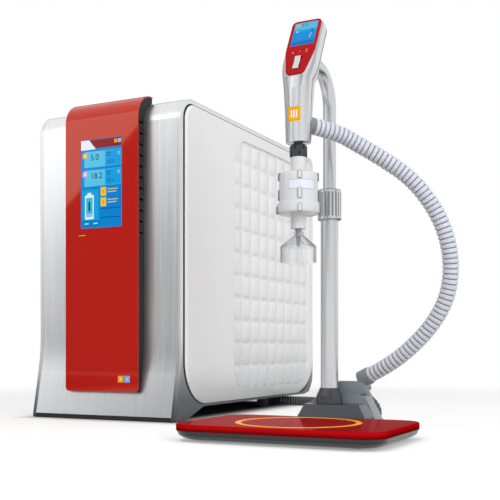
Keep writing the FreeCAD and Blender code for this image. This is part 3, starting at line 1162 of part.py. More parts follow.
# ---------------------------------------------------------------- hoses
def make_hoses():
    upper = [Vector(POLE_X + dx, POLE_Y + dy, z) for dx, dy, z in HOSE_ROUTE]
    keep("upper_hose", hose("upper_hose", upper, HOSE_R))
    lower = [Vector(POLE_X + dx, POLE_Y + dy, z) for dx, dy, z in LINK_ROUTE]
    lower += [Vector(CAB_R + dx, CAB_F + dy, z) for dx, dy, z in LINK_TAIL]
    keep("lower_hose", hose("lower_hose", lower, LINK_R))
    end = lower[-1]
    gland = slab("xz", end.y - GLAND_W / 2, end.y + GLAND_W / 2,
                 [(end.x - 34, 1, 3), (end.x, 1, 2), (end.x, 21, 2), (end.x - 8, PAN_Z, 0),
                  (end.x - 34, PAN_Z, 0)])
    keep("hose_gland", gland)


def build_nodes():
    make_side_frames()
    make_side_covers()
    make_wrap()
    make_base_pan()
    make_rear_panel()
    keep("rear_ports", bulkhead_port(FEED_AT), bulkhead_port(DRAIN_AT))
    make_power_inlet()
    make_fascia()
    make_chassis()
    make_cartridges()
    make_wet_side()
    make_dry_side()
    make_stand()
    make_pole_foot()
    make_hose_block()
    make_pole()
    make_handset()
    make_filter()
    make_hoses()


build_nodes()
for node, shape in nodes.items():
    if not shape.isValid() or shape.Volume <= 0:
        print("not a sound solid:", node)
    shape.exportStep("parts/" + node + ".step")
print(len(nodes), "nodes")
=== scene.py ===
# %% [markdown]
# # Ultrapure water system
# A bench cabinet that makes pure water and a stand that dispenses it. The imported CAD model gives
# every rigid piece its place. This script gives each piece its finish, models the parts whose
# beauty is in a soft curve, such as the quilted panels and the ribbed hoses, and sets the light.

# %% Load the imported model
import json
import math

import bmesh
import bpy
from mathutils import Matrix, Vector


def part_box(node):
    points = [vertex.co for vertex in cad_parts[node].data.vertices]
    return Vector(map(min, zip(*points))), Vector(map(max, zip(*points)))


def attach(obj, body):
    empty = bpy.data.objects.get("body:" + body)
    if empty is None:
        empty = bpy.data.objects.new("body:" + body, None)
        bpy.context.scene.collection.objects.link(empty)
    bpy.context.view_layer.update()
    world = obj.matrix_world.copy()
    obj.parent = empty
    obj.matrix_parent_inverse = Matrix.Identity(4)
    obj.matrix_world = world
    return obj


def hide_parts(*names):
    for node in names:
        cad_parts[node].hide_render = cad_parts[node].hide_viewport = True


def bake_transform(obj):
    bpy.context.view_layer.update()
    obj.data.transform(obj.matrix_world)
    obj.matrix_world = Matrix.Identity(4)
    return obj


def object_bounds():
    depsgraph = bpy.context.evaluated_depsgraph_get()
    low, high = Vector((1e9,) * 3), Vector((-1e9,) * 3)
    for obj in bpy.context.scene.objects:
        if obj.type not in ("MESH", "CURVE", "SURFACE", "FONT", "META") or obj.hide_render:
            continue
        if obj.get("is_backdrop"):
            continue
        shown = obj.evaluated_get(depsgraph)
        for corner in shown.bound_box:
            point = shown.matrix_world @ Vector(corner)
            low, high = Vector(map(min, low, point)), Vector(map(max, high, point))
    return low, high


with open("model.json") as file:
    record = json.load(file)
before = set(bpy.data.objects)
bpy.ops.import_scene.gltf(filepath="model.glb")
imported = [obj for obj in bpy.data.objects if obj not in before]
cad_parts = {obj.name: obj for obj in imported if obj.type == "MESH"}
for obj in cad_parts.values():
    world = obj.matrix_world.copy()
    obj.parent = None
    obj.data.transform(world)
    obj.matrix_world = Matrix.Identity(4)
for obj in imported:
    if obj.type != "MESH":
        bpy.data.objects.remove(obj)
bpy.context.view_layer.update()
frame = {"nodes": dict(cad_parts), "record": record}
nodes = frame["nodes"]

# %% [markdown]
# ## Places
# These places are measured from the imported pieces. The pole's axis comes from its tube and the
# dispense axis from the bell.

# %% Places on the cabinet and the stand
MM = 0.001


def middle(node):
    low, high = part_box(node)
    return (low + high) / 2


pole = middle("lower_tube")
dispense = middle("bell")
cabinet_low, cabinet_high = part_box("front_wrap")
glass_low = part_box("fascia_glass")[0]
screen_low, screen_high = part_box("touch_screen")
print("pole at", [round(v, 3) for v in pole], "dispense axis at", [round(v, 3) for v in dispense])

# %% [markdown]
# ## Helpers for objects
# Each new piece is a bmesh turned into an object whose origin stays at the bench's middle, as the
# CAD pieces' do. Smooth shading with sharp edges kept above an angle suits moulded parts.

# %% Object helpers
def add_object(name, data):
    """Puts a new object into the scene."""
    made = bpy.data.objects.new(name, data)
    bpy.context.scene.collection.objects.link(made)
    return made


def mesh_from(name, shape):
    """Turns a bmesh into a mesh and frees it."""
    mesh = bpy.data.meshes.new(name)
    shape.to_mesh(mesh)
    shape.free()
    return mesh


def finish_mesh(name, shape, body, slot, *replaced, paints=(), sharp=35):
    """Turns a bmesh into a piece of the object, with its finishes."""
    mesh = mesh_from(name, shape)
    mesh.shade_smooth()
    mesh.set_sharp_from_angle(angle=math.radians(sharp))
    piece = add_object(name, mesh)
    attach(piece, body)
    if replaced:
        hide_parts(*replaced)
    for paint in paints:
        mesh.materials.append(finishes[paint])
    print(name, len(mesh.polygons), "faces")
    return piece


def as_mesh(thing):
    """A mesh of a curve, a text or a piece with modifiers, as it stands."""
    graph = bpy.context.evaluated_depsgraph_get()
    return bpy.data.meshes.new_from_object(thing.evaluated_get(graph))


def apply_modifiers(piece):
    """Bakes a piece's modifiers into its mesh."""
    baked = as_mesh(piece)
    piece.modifiers.clear()
    piece.data = baked


# %% [markdown]
# ## Helpers for meshes
# The same few steps shape most pieces: a flat grid, a chain of points turned round an axis, edges
# or corners rounded with a bevel, and faces that are made to look outward.

# %% Mesh helpers
def flat_grid(width, height, columns=1, rows=1):
    """A flat grid with its middle at the origin."""
    grid = bmesh.new()
    bmesh.ops.create_grid(grid, x_segments=columns, y_segments=rows, size=0.5)
    bmesh.ops.scale(grid, verts=grid.verts, vec=(width, height, 1))
    return grid


def turn_chain(shape, chain, steps, axis=(0, 0, 1)):
    """Joins a chain of vertices and turns it right round an axis through the origin."""
    edges = [shape.edges.new(pair) for pair in zip(chain, chain[1:])]
    bmesh.ops.spin(shape, geom=chain + edges, cent=(0, 0, 0), axis=axis, angle=2 * math.pi,
                   steps=steps, use_merge=True)
    bmesh.ops.remove_doubles(shape, verts=shape.verts, dist=1e-6)


def extruded(shape, edges):
    """Extrudes some edges and gives the new vertices."""
    grown = bmesh.ops.extrude_edge_only(shape, edges=edges)["geom"]
    return [item for item in grown if isinstance(item, bmesh.types.BMVert)]


def round_off(shape, items, size, segments, affect="EDGES", clamp=False):
    """Rounds edges or corners with a bevel."""
    bmesh.ops.bevel(shape, geom=items, offset=size, offset_type="OFFSET", segments=segments,
                    profile=0.5, affect=affect, material=-1, clamp_overlap=clamp)


def move(shape, x, y, z=0.0):
    bmesh.ops.translate(shape, verts=shape.verts, vec=(x, y, z))


def swing(shape, degrees):
    """Turns a shape about the z axis."""
    bmesh.ops.rotate(shape, verts=shape.verts, cent=(0, 0, 0),
                     matrix=Matrix.Rotation(math.radians(degrees), 3, "Z"))


def face_outward(shape, way=None):
    """Makes most faces look along a way, or away from the origin where none is given."""
    bmesh.ops.recalc_face_normals(shape, faces=shape.faces)
    if sum(face.normal.dot(way or face.calc_center_median()) for face in shape.faces) < 0:
        bmesh.ops.reverse_faces(shape, faces=shape.faces)


def pour(shape, into):
    """Moves all of one bmesh into another."""
    mesh = mesh_from("poured", shape)
    into.from_mesh(mesh)
    bpy.data.meshes.remove(mesh)


# %% [markdown]
# ## Camera
# A long lens at bench height, a little to the right of the stand, looking level. The frame is
# shifted up instead of tilting the camera, so that upright edges stay upright.

# %% Camera
LENS = 63.8                  # millimetres
RISE = 0.194                 # the frame's shift upwards, as a share of its side
EYE = (0.695, -1.441, 0.126)
LOOK_LEFT = 26.3             # degrees
camera_data = bpy.data.cameras.new("product_camera")
camera_data.lens, camera_data.shift_y = LENS, RISE
camera = add_object("product_camera", camera_data)
camera.location = EYE
camera.rotation_euler = (math.radians(90), 0, math.radians(LOOK_LEFT))
bpy.context.scene.camera = camera
print("camera at", EYE)

# %% [markdown]
# ## Ribbed hoses
# A corrugated conduit is one rib repeated. One rib is turned with a spin, an Array modifier strings
# as many as fit, and a Curve modifier bends the string along the hose's own NURBS line. A vertex
# attribute marks the grooves, so that the material can paint shade there.

# %% Hose routes, from the pole's axis and over the bench, in millimetres
LIGHT_ROUTE = [(14, -98, 427.5), (38, -69, 423), (60, -48, 409), (91, -28, 389), (125, -10, 363),
               (152, 4, 327), (170, 13, 285), (176, 20, 240), (169, 24, 196), (147, 27, 158),
               (114, 30, 124), (78, 34, 98), (49, 39, 84)]
DARK_ROUTE = [(35, 60, 48), (41, 71, 40), (44, 80, 30), (41, 90, 20), (31, 104, 12), (16, 127, 10),
              (-10, 170, 10), (-56, 258, 10), (-104, 322, 10), (-144, 385, 10), (-172, 440, 10),
              (-198, 490, 10), (-234, 528, 10), (-278, 540, 10), (-322, 540, 10)]


def hose_line(name, route):
    """A smooth NURBS line through a hose's route, as a curve object."""
    curve = bpy.data.curves.new(name, "CURVE")
    curve.dimensions = "3D"
    curve.resolution_u = 12
    spline = curve.splines.new("NURBS")
    spline.points.add(len(route) - 1)
    for point, (x, y, z) in zip(spline.points, route):
        point.co = (pole.x + x * MM, pole.y + y * MM, z * MM, 1)
    spline.order_u = 3
    spline.use_endpoint_u = True
    return add_object(name, curve)


def line_points(line):
    """The points of a curve object, as Blender draws it."""
    mesh = as_mesh(line)
    points = [vertex.co.copy() for vertex in mesh.vertices]
    bpy.data.meshes.remove(mesh)
    return points


# %% One rib, strung along the line
def ribbed_hose(name, route, profile, pitch, around):
    """A corrugated hose; profile is (share of the pitch, radius, painted groove shade) along one
    rib.
    """
    line = hose_line(name + "_line", route)
    points = line_points(line)
    length = sum((b - a).length for a, b in zip(points, points[1:]))
    count = round(length / pitch)
    step = length / count
    rib = bmesh.new()
    mask = rib.verts.layers.float.new("groove")
    chain = []
    for share, radius, groove in profile:
        chain.append(rib.verts.new((share * step, 0, radius)))
        chain[-1][mask] = groove
    turn_chain(rib, chain, around, axis=(1, 0, 0))
    bmesh.ops.recalc_face_normals(rib, faces=rib.faces)
    mesh = mesh_from(name, rib)
    mesh.shade_smooth()
    piece = add_object(name, mesh)
    string = piece.modifiers.new("string", "ARRAY")
    string.count = count
    string.use_relative_offset = False
    string.use_constant_offset = True
    string.constant_offset_displace = (step, 0, 0)
    string.use_merge_vertices = True
    string.merge_threshold = 1e-5
    bend = piece.modifiers.new("bend", "CURVE")
    bend.object = line
    bend.deform_axis = "POS_X"
    bpy.context.view_layer.update()
    apply_modifiers(piece)
    bpy.data.objects.remove(line)
    print(name, count, "ribs,", round(length, 3), "m long,", len(piece.data.polygons), "faces")
    return piece, points, length


LIGHT_PROFILE = [(0, 0.0098, 1), (0.06, 0.0100, 0.9), (0.12, 0.0109, 0.35), (0.24, 0.01142, 0.05),
                 (0.42, 0.0115, 0), (0.62, 0.0115, 0), (0.80, 0.01142, 0.05), (0.92, 0.0109, 0.35),
                 (1, 0.0098, 1)]
DARK_PROFILE = [(0, 0.0082, 1), (0.16, 0.0083, 0.9), (0.28, 0.0094, 0.4), (0.40, 0.00995, 0),
                (0.60, 0.00995, 0), (0.72, 0.0094, 0.4), (0.84, 0.0083, 0.9), (1, 0.0082, 1)]

LIGHT_PITCH, DARK_PITCH = 7.2 * MM, 6.6 * MM
light_hose, light_points, light_length = ribbed_hose("light_hose", LIGHT_ROUTE, LIGHT_PROFILE,
                                                     LIGHT_PITCH, 28)
dark_hose, dark_points, dark_length = ribbed_hose("dark_hose", DARK_ROUTE, DARK_PROFILE,
                                                  DARK_PITCH, 24)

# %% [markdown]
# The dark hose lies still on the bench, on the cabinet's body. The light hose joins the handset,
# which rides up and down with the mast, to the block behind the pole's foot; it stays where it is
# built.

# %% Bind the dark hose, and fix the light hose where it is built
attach(dark_hose, "cabinet")
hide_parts("lower_hose")
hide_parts("upper_hose")
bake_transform(light_hose)

# %% [markdown]
# ## Shader helpers
# A small function makes a node, sets its values and joins its sockets in one line. Effects that
# more than one finish uses are node groups, each with the same three outputs, so that any of them
# can be placed in a material in the same way.

# %% Node helpers
def srgb(red, green, blue):
    """A colour as seen on a screen, in the linear values that shaders use."""
    linear = []
    for channel in (red / 255, green / 255, blue / 255):
        linear.append(channel / 12.92 if channel < 0.04045 else ((channel + 0.055) / 1.055) ** 2.4)
    return (*linear, 1.0)


def add_node(tree, kind, settings=None, **sockets):
    """Adds a node; a socket given as a value is set, one given as a socket is linked."""
    node = tree.nodes.new("ShaderNode" + kind)
    for label, value in (settings or {}).items():
        setattr(node, label, value)
    for label, value in sockets.items():
        key = int(label[1:]) if label[0] == "i" and label[1:].isdigit() else label.replace("_", " ")
        if isinstance(value, bpy.types.NodeSocket):
            tree.links.new(value, node.inputs[key])
        else:
            node.inputs[key].default_value = value
    return node


def calculate(tree, operation, first, second, third=None):
    inputs = {"i0": first, "i1": second}
    if third is not None:
        inputs["i2"] = third
    return add_node(tree, "Math", {"operation": operation}, **inputs).outputs[0]


def new_effect(name, **inputs):
    """A node group with the given inputs and a colour, a roughness and a normal out."""
    tree = bpy.data.node_groups.new(name, "ShaderNodeTree")
    for label, value in inputs.items():
        kind = {3: "Vector", 4: "Color"}[len(value)] if isinstance(value, tuple) else "Float"
        socket = tree.interface.new_socket(label, in_out="INPUT", socket_type="NodeSocket" + kind)
        socket.default_value = value
    for label, kind in (("Colour", "Color"), ("Roughness", "Float"), ("Normal", "Vector")):
        tree.interface.new_socket(label, in_out="OUTPUT", socket_type="NodeSocket" + kind)
    entry = tree.nodes.new("NodeGroupInput").outputs
    leave = tree.nodes.new("NodeGroupOutput").inputs
    place = add_node(tree, "TexCoord").outputs["Object"]
    return tree, entry, leave, place


def noise(tree, vector, scale, detail, distortion=0.0):
    return add_node(tree, "TexNoise", Vector=vector, Scale=scale, Detail=detail,
                    Distortion=distortion).outputs[0]


def stretched(tree, vector, amounts):
    return add_node(tree, "VectorMath", {"operation": "MULTIPLY"}, i0=vector, i1=amounts).outputs[0]


def swung(tree, wave, amount, base):
    """A base value that a noise moves up and down."""
    return calculate(tree, "MULTIPLY_ADD", calculate(tree, "SUBTRACT", wave, 0.5), amount, base)


def close_effect(tree, entry, leave, cloud, roughness, relief, strength, distance):
    """Joins an effect's shaded colour, its roughness and its relief to the outputs."""
    shaded = add_node(tree, "HueSaturation", Color=entry["Colour"],
                      Value=swung(tree, cloud, entry["Shade"], 1.0))
    bump = add_node(tree, "Bump", Strength=strength, Distance=distance, Height=relief)
    tree.links.new(shaded.outputs["Color"], leave["Colour"])
    tree.links.new(roughness, leave["Roughness"])
    tree.links.new(bump.outputs[0], leave["Normal"])
    print("effect", tree.name)


def object_axes(tree):
    """The place on the object, as its x, y and z."""
    return add_node(tree, "SeparateXYZ", i0=add_node(tree, "TexCoord").outputs["Object"]).outputs


def smooth_range(tree, value, start, end, first=0.0, last=1.0):
    """Eases from a first to a last amount while a value goes from start to end."""
    return add_node(tree, "MapRange", {"interpolation_type": "SMOOTHSTEP"}, Value=value, i1=start,
                    i2=end, i3=first, i4=last).outputs[0]


def mix_shaders(tree, share, first, second):
    return add_node(tree, "MixShader", i0=share, i1=first.outputs[0], i2=second.outputs[0])


def new_material(name):
    """A material and its node tree."""
    made = bpy.data.materials.new(name)
    made.use_nodes = True
    return made, made.node_tree


# %% [markdown]
# ## Effect: moulded plastic
# Injection-moulded covers are never quite flat in tone. Slow clouds shift the colour a little and
# the gloss a little more, and a fine grain from the mould breaks up the highlights.

# %% Moulded plastic group
moulded, entry, leave, place = new_effect("moulded_plastic", Colour=(0.8, 0.8, 0.8, 1), Shade=0.05,
                                          Grain=900.0, Depth=0.00004, Roughness=0.4, Spread=0.1)
grain = noise(moulded, place, entry["Grain"], 2.0)
haze = swung(moulded, noise(moulded, place, 60.0, 4.0), entry["Spread"], entry["Roughness"])
close_effect(moulded, entry, leave, noise(moulded, place, 7.0, 3.0), haze, grain, 0.5,
             entry["Depth"])

# %% [markdown]
# ## Effect: brushed metal
# Brushing leaves long thin lines. Stretching the place by a different amount along each axis turns
# a plain noise into lines, and the same lines drive the tone, the roughness and the fine relief.

# %% Brushed metal group
brushed, entry, leave, place = new_effect("brushed_metal", Colour=(0.7, 0.7, 0.7, 1), Shade=0.1,
                                          Stretch=(1.0, 1.0, 1.0), Depth=0.00002, Roughness=0.3,
                                          Spread=0.1)
lines = noise(brushed, stretched(brushed, place, entry["Stretch"]), 1.0, 5.0)
tone = swung(brushed, noise(brushed, place, 5.0, 2.0), 0.4, lines)
haze = swung(brushed, lines, entry["Spread"], entry["Roughness"])
close_effect(brushed, entry, leave, tone, haze, lines, 0.4, entry["Depth"])

# %% [markdown]
# ## Effect: clear gloss
# Lacquer, glass and polished metal show what they reflect, so their detail is in the roughness:
# faint wiping marks and a little haze. A very slow ripple keeps the reflections from being perfect.

# %% Clear gloss group
gloss, entry, leave, place = new_effect("clear_gloss", Colour=(0.5, 0.02, 0.01, 1), Shade=0.04,
                                        Ripple=0.00003, Roughness=0.08, Smear=0.06)
marks = noise(gloss, stretched(gloss, place, (18.0, 18.0, 60.0)), 1.0, 6.0, 0.6)
haze = calculate(gloss, "MULTIPLY_ADD", marks, entry["Smear"], entry["Roughness"])
close_effect(gloss, entry, leave, noise(gloss, place, 4.0, 2.0), haze,
             noise(gloss, place, 14.0, 1.0), 0.5, entry["Ripple"])

# %% [markdown]
# ## Finishes
# One function places an effect in a material and joins it to a Principled shader. What is the same
# all over a surface, such as metallic or transmission, is set on the shader itself.

# %% Finish maker
finishes = {}


def finish(name, effect, colour, roughness, **values):
    """A material from one effect; values set the effect's inputs or else the shader's own."""
    made, tree = new_material(name)
    principled = tree.nodes["Principled BSDF"]
    group = tree.nodes.new("ShaderNodeGroup")
    group.node_tree = effect
    group.inputs["Colour"].default_value = srgb(*colour)
    group.inputs["Roughness"].default_value = roughness
    for label, value in values.items():
        label = label.replace("_", " ")
        owner = group if label in group.inputs else principled
        owner.inputs[label].default_value = value
    for label, target in (("Colour", "Base Color"), ("Roughness", "Roughness"),
                          ("Normal", "Normal")):
        tree.links.new(group.outputs[label], principled.inputs[target])
    finishes[name] = made


# %% Metal finishes
VERTICAL = (760.0, 5.0, 5.0)
finish("steel_wrap", brushed, (232, 233, 234), 0.32, Shade=0.46, Stretch=VERTICAL, Spread=0.2,
       Metallic=1.0)
finish("tube_metal", brushed, (208, 210, 212), 0.33, Shade=0.06, Stretch=(900.0, 900.0, 14.0),
       Spread=0.06, Metallic=1.0)
finish("zinc_sheet", brushed, (196, 199, 203), 0.42, Shade=0.12, Stretch=(40.0, 40.0, 40.0),
       Spread=0.2, Metallic=1.0)
finish("supply_metal", brushed, (205, 207, 209), 0.38, Shade=0.08, Stretch=(14.0, 900.0, 900.0),
       Metallic=1.0)
finish("vessel_steel", brushed, (214, 216, 219), 0.28, Shade=0.1, Stretch=(300.0, 300.0, 1400.0),
       Metallic=1.0)
finish("ballast", moulded, (74, 75, 78), 0.7, Grain=500.0, Depth=0.0003, Metallic=1.0)
finish("knob_chrome", gloss, (206, 208, 210), 0.24, Shade=0.03, Metallic=1.0)
finish("handset_chrome", gloss, (206, 208, 210), 0.24, Shade=0.03, Metallic=1.0)
finish("rocker_silver", gloss, (216, 217, 220), 0.2, Metallic=1.0)
print(len(finishes), "metal finishes")

# %% Plastic and rubber finishes
finish("side_frames", moulded, (226, 227, 229), 0.34, Depth=0.00001, Spread=0.04, Metallic=0.9)
finish("white_cover", gloss, (243, 243, 243), 0.26, Shade=0.012, Smear=0.012,
       Specular_IOR_Level=0.4)
finish("quilted_panel", moulded, (243, 243, 244), 0.34, Shade=0.02, Depth=0.00002)
finish("black_housing", moulded, (20, 21, 22), 0.42, Depth=0.00006, Specular_IOR_Level=0.25)
finish("rubber", moulded, (30, 30, 32), 0.78, Depth=0.0001)
finish("port_plastic", moulded, (212, 213, 212), 0.4)
finish("inlet_black", moulded, (26, 26, 27), 0.5, Depth=0.00008)
finish("switch_black", gloss, (20, 20, 21), 0.2)
finish("cartridge_white", gloss, (234, 236, 238), 0.26, Shade=0.03)
finish("tank_plastic", moulded, (224, 229, 231), 0.36, Shade=0.08, Subsurface_Weight=0.1)
finish("pump_black", moulded, (40, 41, 44), 0.44, Depth=0.0001)
finish("valve_grey", moulded, (92, 95, 99), 0.46)
finish("board_green", moulded, (30, 92, 54), 0.4, Shade=0.2)
finish("stand_grey", moulded, (56, 63, 69), 0.22, Shade=0.08, Depth=0.00003)
finish("saddle_grey", moulded, (124, 133, 138), 0.32, Shade=0.06)
finish("handset_silver", gloss, (216, 217, 219), 0.32, Shade=0.03, Smear=0.02, Metallic=0.9)
finish("nut_black", moulded, (44, 46, 49), 0.4, Depth=0.00006)
finish("port_grey", moulded, (120, 124, 128), 0.4)
finish("filter_white", gloss, (212, 213, 214), 0.16, Shade=0.02, Smear=0.02, Subsurface_Weight=0.06)
finish("membrane", moulded, (226, 226, 222), 0.8, Grain=300.0, Depth=0.0004)
finish("light_hose", moulded, (204, 209, 219), 0.38, Shade=0.04)
finish("dark_hose", moulded, (96, 100, 110), 0.34, Shade=0.1)
print(len(finishes), "finishes so far")

# %% Glossy red, orange and screen finishes
finish("red_glass", gloss, (188, 20, 12), 0.03, Shade=0.05, Smear=0.02, Specular_IOR_Level=0.75,
       Specular_Tint=(1.0, 0.7, 0.5, 1.0))
finish("tray_red", gloss, (186, 14, 18), 0.08, Smear=0.03, Metallic=0.5, Specular_IOR_Level=0.0,
       Specular_Tint=srgb(180, 0, 0))
finish("face_red", gloss, (168, 4, 10), 0.2, Smear=0.03, Specular_IOR_Level=0.1)
finish("ring_orange", gloss, (255, 176, 20), 0.35, Specular_IOR_Level=0.2)
finish("screen", gloss, (4, 40, 70), 0.06, Smear=0.02, Emission_Color=srgb(0, 134, 212),
       Emission_Strength=0.85, Specular_IOR_Level=0.2)
finish("lcd", gloss, (4, 40, 70), 0.12, Smear=0.02, Emission_Color=srgb(0, 140, 216),
       Emission_Strength=0.9, Specular_IOR_Level=0.1)
finish("clear_bell", gloss, (248, 250, 250), 0.02, Smear=0.02, Transmission_Weight=0.96, IOR=1.3)
print(len(finishes), "finishes in all")

# %% [markdown]
# The grip is blow-moulded round, while its packed shell has a narrow flat down the front. A Bump
# node whose height falls off as the square of the distance from the middle bends the reflections
# as a round shell would.

# %% A rounder grip
GRIP_ROUND = 20 * MM


def rounded_across(name, centre, radius):
    """Adds a rounding across x to a finish's own relief."""
    tree = finishes[name].node_tree
    target = tree.nodes["Principled BSDF"].inputs["Normal"]
    relief = target.links[0].from_socket
    across = calculate(tree, "SUBTRACT", object_axes(tree)[0], centre)
    fall = calculate(tree, "MULTIPLY", calculate(tree, "MULTIPLY", across, across), -0.5 / radius)
    bend = add_node(tree, "Bump", Strength=1.0, Distance=1.0, Height=fall, Normal=relief)
    tree.links.new(bend.outputs[0], target)


rounded_across("handset_silver", dispense.x, GRIP_ROUND)
print("grip rounded")

# %% [markdown]
# ## Painted shade in grooves and near the bench, and darker glass edges
# The shade in the hoses' grooves and the knob's flutes is painted into their colour, glass is
# darker where it is seen edge on, and what stands close to the bench gets painted shade for the
# light it does not catch. Each is a mask over a finish's colour.

# %% Masks
KNOB_RADIUS, FLUTE_RADIUS = 17.45 * MM, 16.9 * MM
EDGE_POWER = 1.9             # the higher, the thinner the dark edge of the glass


def darken_where(name, mask_of, colour, blend="MIX"):
    """Lays a second colour over a finish where a mask says so, or multiplies by it."""
    tree = finishes[name].node_tree
    target = tree.nodes["Principled BSDF"].inputs["Base Color"]
    plain_colour = target.links[0].from_socket
    mixed = add_node(tree, "Mix", {"data_type": "RGBA", "blend_type": blend}, i0=mask_of(tree),
                     i6=plain_colour, i7=srgb(*colour))
    tree.links.new(mixed.outputs[2], target)


def groove_shade_mask(tree):
    """The painted shade that the hoses' ribs carry: one at the bottom of a groove."""
    return add_node(tree, "Attribute", {"attribute_name": "groove"}).outputs["Fac"]


def flute_shade_mask(tree):
    """Painted shade, stronger in the knob's flutes and chamfers, by distance from the pole's axis.
    """
    axes = object_axes(tree)
    across = calculate(tree, "SUBTRACT", axes[0], pole.x)
    along = calculate(tree, "SUBTRACT", axes[1], pole.y)
    square = calculate(tree, "MULTIPLY", across, across)
    radius = calculate(tree, "POWER", calculate(tree, "MULTIPLY_ADD", along, along, square), 0.5)
    return add_node(tree, "MapRange", Value=radius, i1=FLUTE_RADIUS, i2=KNOB_RADIUS, i3=0.6,
                    i4=0.0).outputs[0]


def edge_mask(tree):
    """Glass looks darker where it is seen edge on, because more of it lies in the way."""
    facing = add_node(tree, "LayerWeight", Blend=0.5).outputs["Facing"]
    return calculate(tree, "POWER", facing, EDGE_POWER)


def shade_near_bench(top, bottom=0.0):
    """A mask of painted shade near the bench, from nothing at a height to one at a lower height."""
    def mask(tree):
        return smooth_range(tree, object_axes(tree)[2], bottom, top, 1.0, 0.0)
    return mask


# %% Darken the finishes
# Painted shade in the grooves of both hoses.
darken_where("light_hose", groove_shade_mask, (104, 108, 120))
darken_where("dark_hose", groove_shade_mask, (24, 26, 30))
# Painted shade in the knob's flutes and on its chamfers.
darken_where("knob_chrome", flute_shade_mask, (48, 50, 52))
darken_where("clear_bell", edge_mask, (26, 30, 32))
# Painted shade near the bench: frames, stand foot, cover, quilting, steel wrap and tray.
darken_where("side_frames", shade_near_bench(0.17), (84, 85, 87))
darken_where("stand_grey", shade_near_bench(0.034), (4, 6, 8))
darken_where("white_cover", shade_near_bench(0.085), (168, 169, 170))
darken_where("quilted_panel", shade_near_bench(0.2), (214, 215, 216))
darken_where("steel_wrap", shade_near_bench(0.2, 0.06), (228, 229, 230), "MULTIPLY")
darken_where("tray_red", shade_near_bench(0.0235, 0.013), (74, 2, 6))
print("grooves, edges and feet darkened")

# %% [markdown]
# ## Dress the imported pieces
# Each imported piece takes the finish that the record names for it.

# %% Assign finishes
slots = {row["node"]: row["material_slot"] for row in frame["record"]["subparts"]}
for node, slot in slots.items():
    piece = nodes[node]
    piece.data.materials.clear()
    piece.data.materials.append(finishes[slot])
light_hose.data.materials.append(finishes["light_hose"])
dark_hose.data.materials.append(finishes["dark_hose"])
nodes["handset_port"].data.materials[0] = finishes["port_grey"]
print("dressed", len(slots), "pieces")

# %% [markdown]
# ## Soft edges on the stand's foot
# The pole's foot, the saddle and the hose block are thick mouldings with generous edge radii. A
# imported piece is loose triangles, so a copy is merged, its flat areas are joined again, and its
# sharp edges are rounded with an edge bevel.

# %% Soften the foot
UNDERSIDE = -0.9             # a face that looks down more than this keeps its sharp edges


def softened(node, width, sharp_from=25):
    """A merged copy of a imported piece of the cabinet's body with rounded edges, in its place."""
    copy = bmesh.new()
    copy.from_mesh(nodes[node].data)
    bmesh.ops.remove_doubles(copy, verts=copy.verts, dist=1e-5)
    bmesh.ops.dissolve_limit(copy, angle_limit=math.radians(1), verts=copy.verts, edges=copy.edges)
    sharp = [edge for edge in copy.edges
             if edge.is_manifold and edge.calc_face_angle(0) > math.radians(sharp_from)
             and min(face.normal.z for face in edge.link_faces) > UNDERSIDE]
    round_off(copy, sharp, width, 4, clamp=True)
    finish_mesh(node + "_soft", copy, "cabinet", slots[node], node, paints=[slots[node]], sharp=40)


for node, width in (("hose_saddle", 5 * MM), ("hose_block", 3 * MM), ("pole_foot", 2.5 * MM)):
    softened(node, width)

# %% [markdown]
# ## Quilted side panels
# Each side cover has a padded-looking panel of pillows, nine across and eleven up. A fine grid is
# raised into one dome per cell, its corners are pulled in to the panel's rounded outline, and its
# border is extruded back to give the panel its edge.

# %% Pillow height
COLUMNS, ROWS = 9, 11
FINE = 10                    # grid steps across one pillow
PILLOW = 4.2 * MM
FALL_ACROSS, FALL_ALONG = 2.2, 3.0   # the higher, the flatter the middle and the steeper the seam
PLUMP = 0.62                 # the lower, the fuller the pillow
CORNER = 52 * MM
EDGE = 0.9 * MM              # how far the panel's edge reaches back


def pillow(u, v):
    """Height of the quilting at a place given in cells: steep at the seams, round on top."""
    across = abs(2 * (u % 1) - 1)
    along = abs(2 * (v % 1) - 1)
    return PILLOW * ((1 - across ** FALL_ACROSS) * (1 - along ** FALL_ALONG)) ** PLUMP


def pull_to_corner(y, z, low, high):
    """Moves a point that lies outside the rounded outline on to it."""
    centre_y = min(max(y, low.y + CORNER), high.y - CORNER)
    centre_z = min(max(z, low.z + CORNER), high.z - CORNER)
    away = Vector((y - centre_y, z - centre_z))
    if away.length > CORNER:
        away = away.normalized() * CORNER
    return centre_y + away.x, centre_z + away.y


# %% Build one panel
def quilted_panel(name, node, body, side):
    low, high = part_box(node)
    level = (high.x if side > 0 else low.x) - side * PILLOW
    panel = flat_grid(1, 1, COLUMNS * FINE, ROWS * FINE)
    for vertex in panel.verts:
        u, v = vertex.co.x + 0.5, vertex.co.y + 0.5
        y, z = pull_to_corner(low.y + u * (high.y - low.y), low.z + v * (high.z - low.z), low, high)
        vertex.co = (level + side * pillow(u * COLUMNS, v * ROWS), y, z)
    bmesh.ops.remove_doubles(panel, verts=panel.verts, dist=0.1 * MM)
    bmesh.ops.dissolve_degenerate(panel, edges=panel.edges, dist=0.05 * MM)
    border = [edge for edge in panel.edges if edge.is_boundary]
    bmesh.ops.translate(panel, verts=extruded(panel, border), vec=(-side * EDGE, 0, 0))
    face_outward(panel, (side, 0, 0))
    finish_mesh(name, panel, body, "quilted_panel", node, paints=["quilted_panel"], sharp=60)


quilted_panel("quilting_right", "quilted_panel_right", "cover_right", 1)
quilted_panel("quilting_left", "quilted_panel_left", "cover_left", -1)

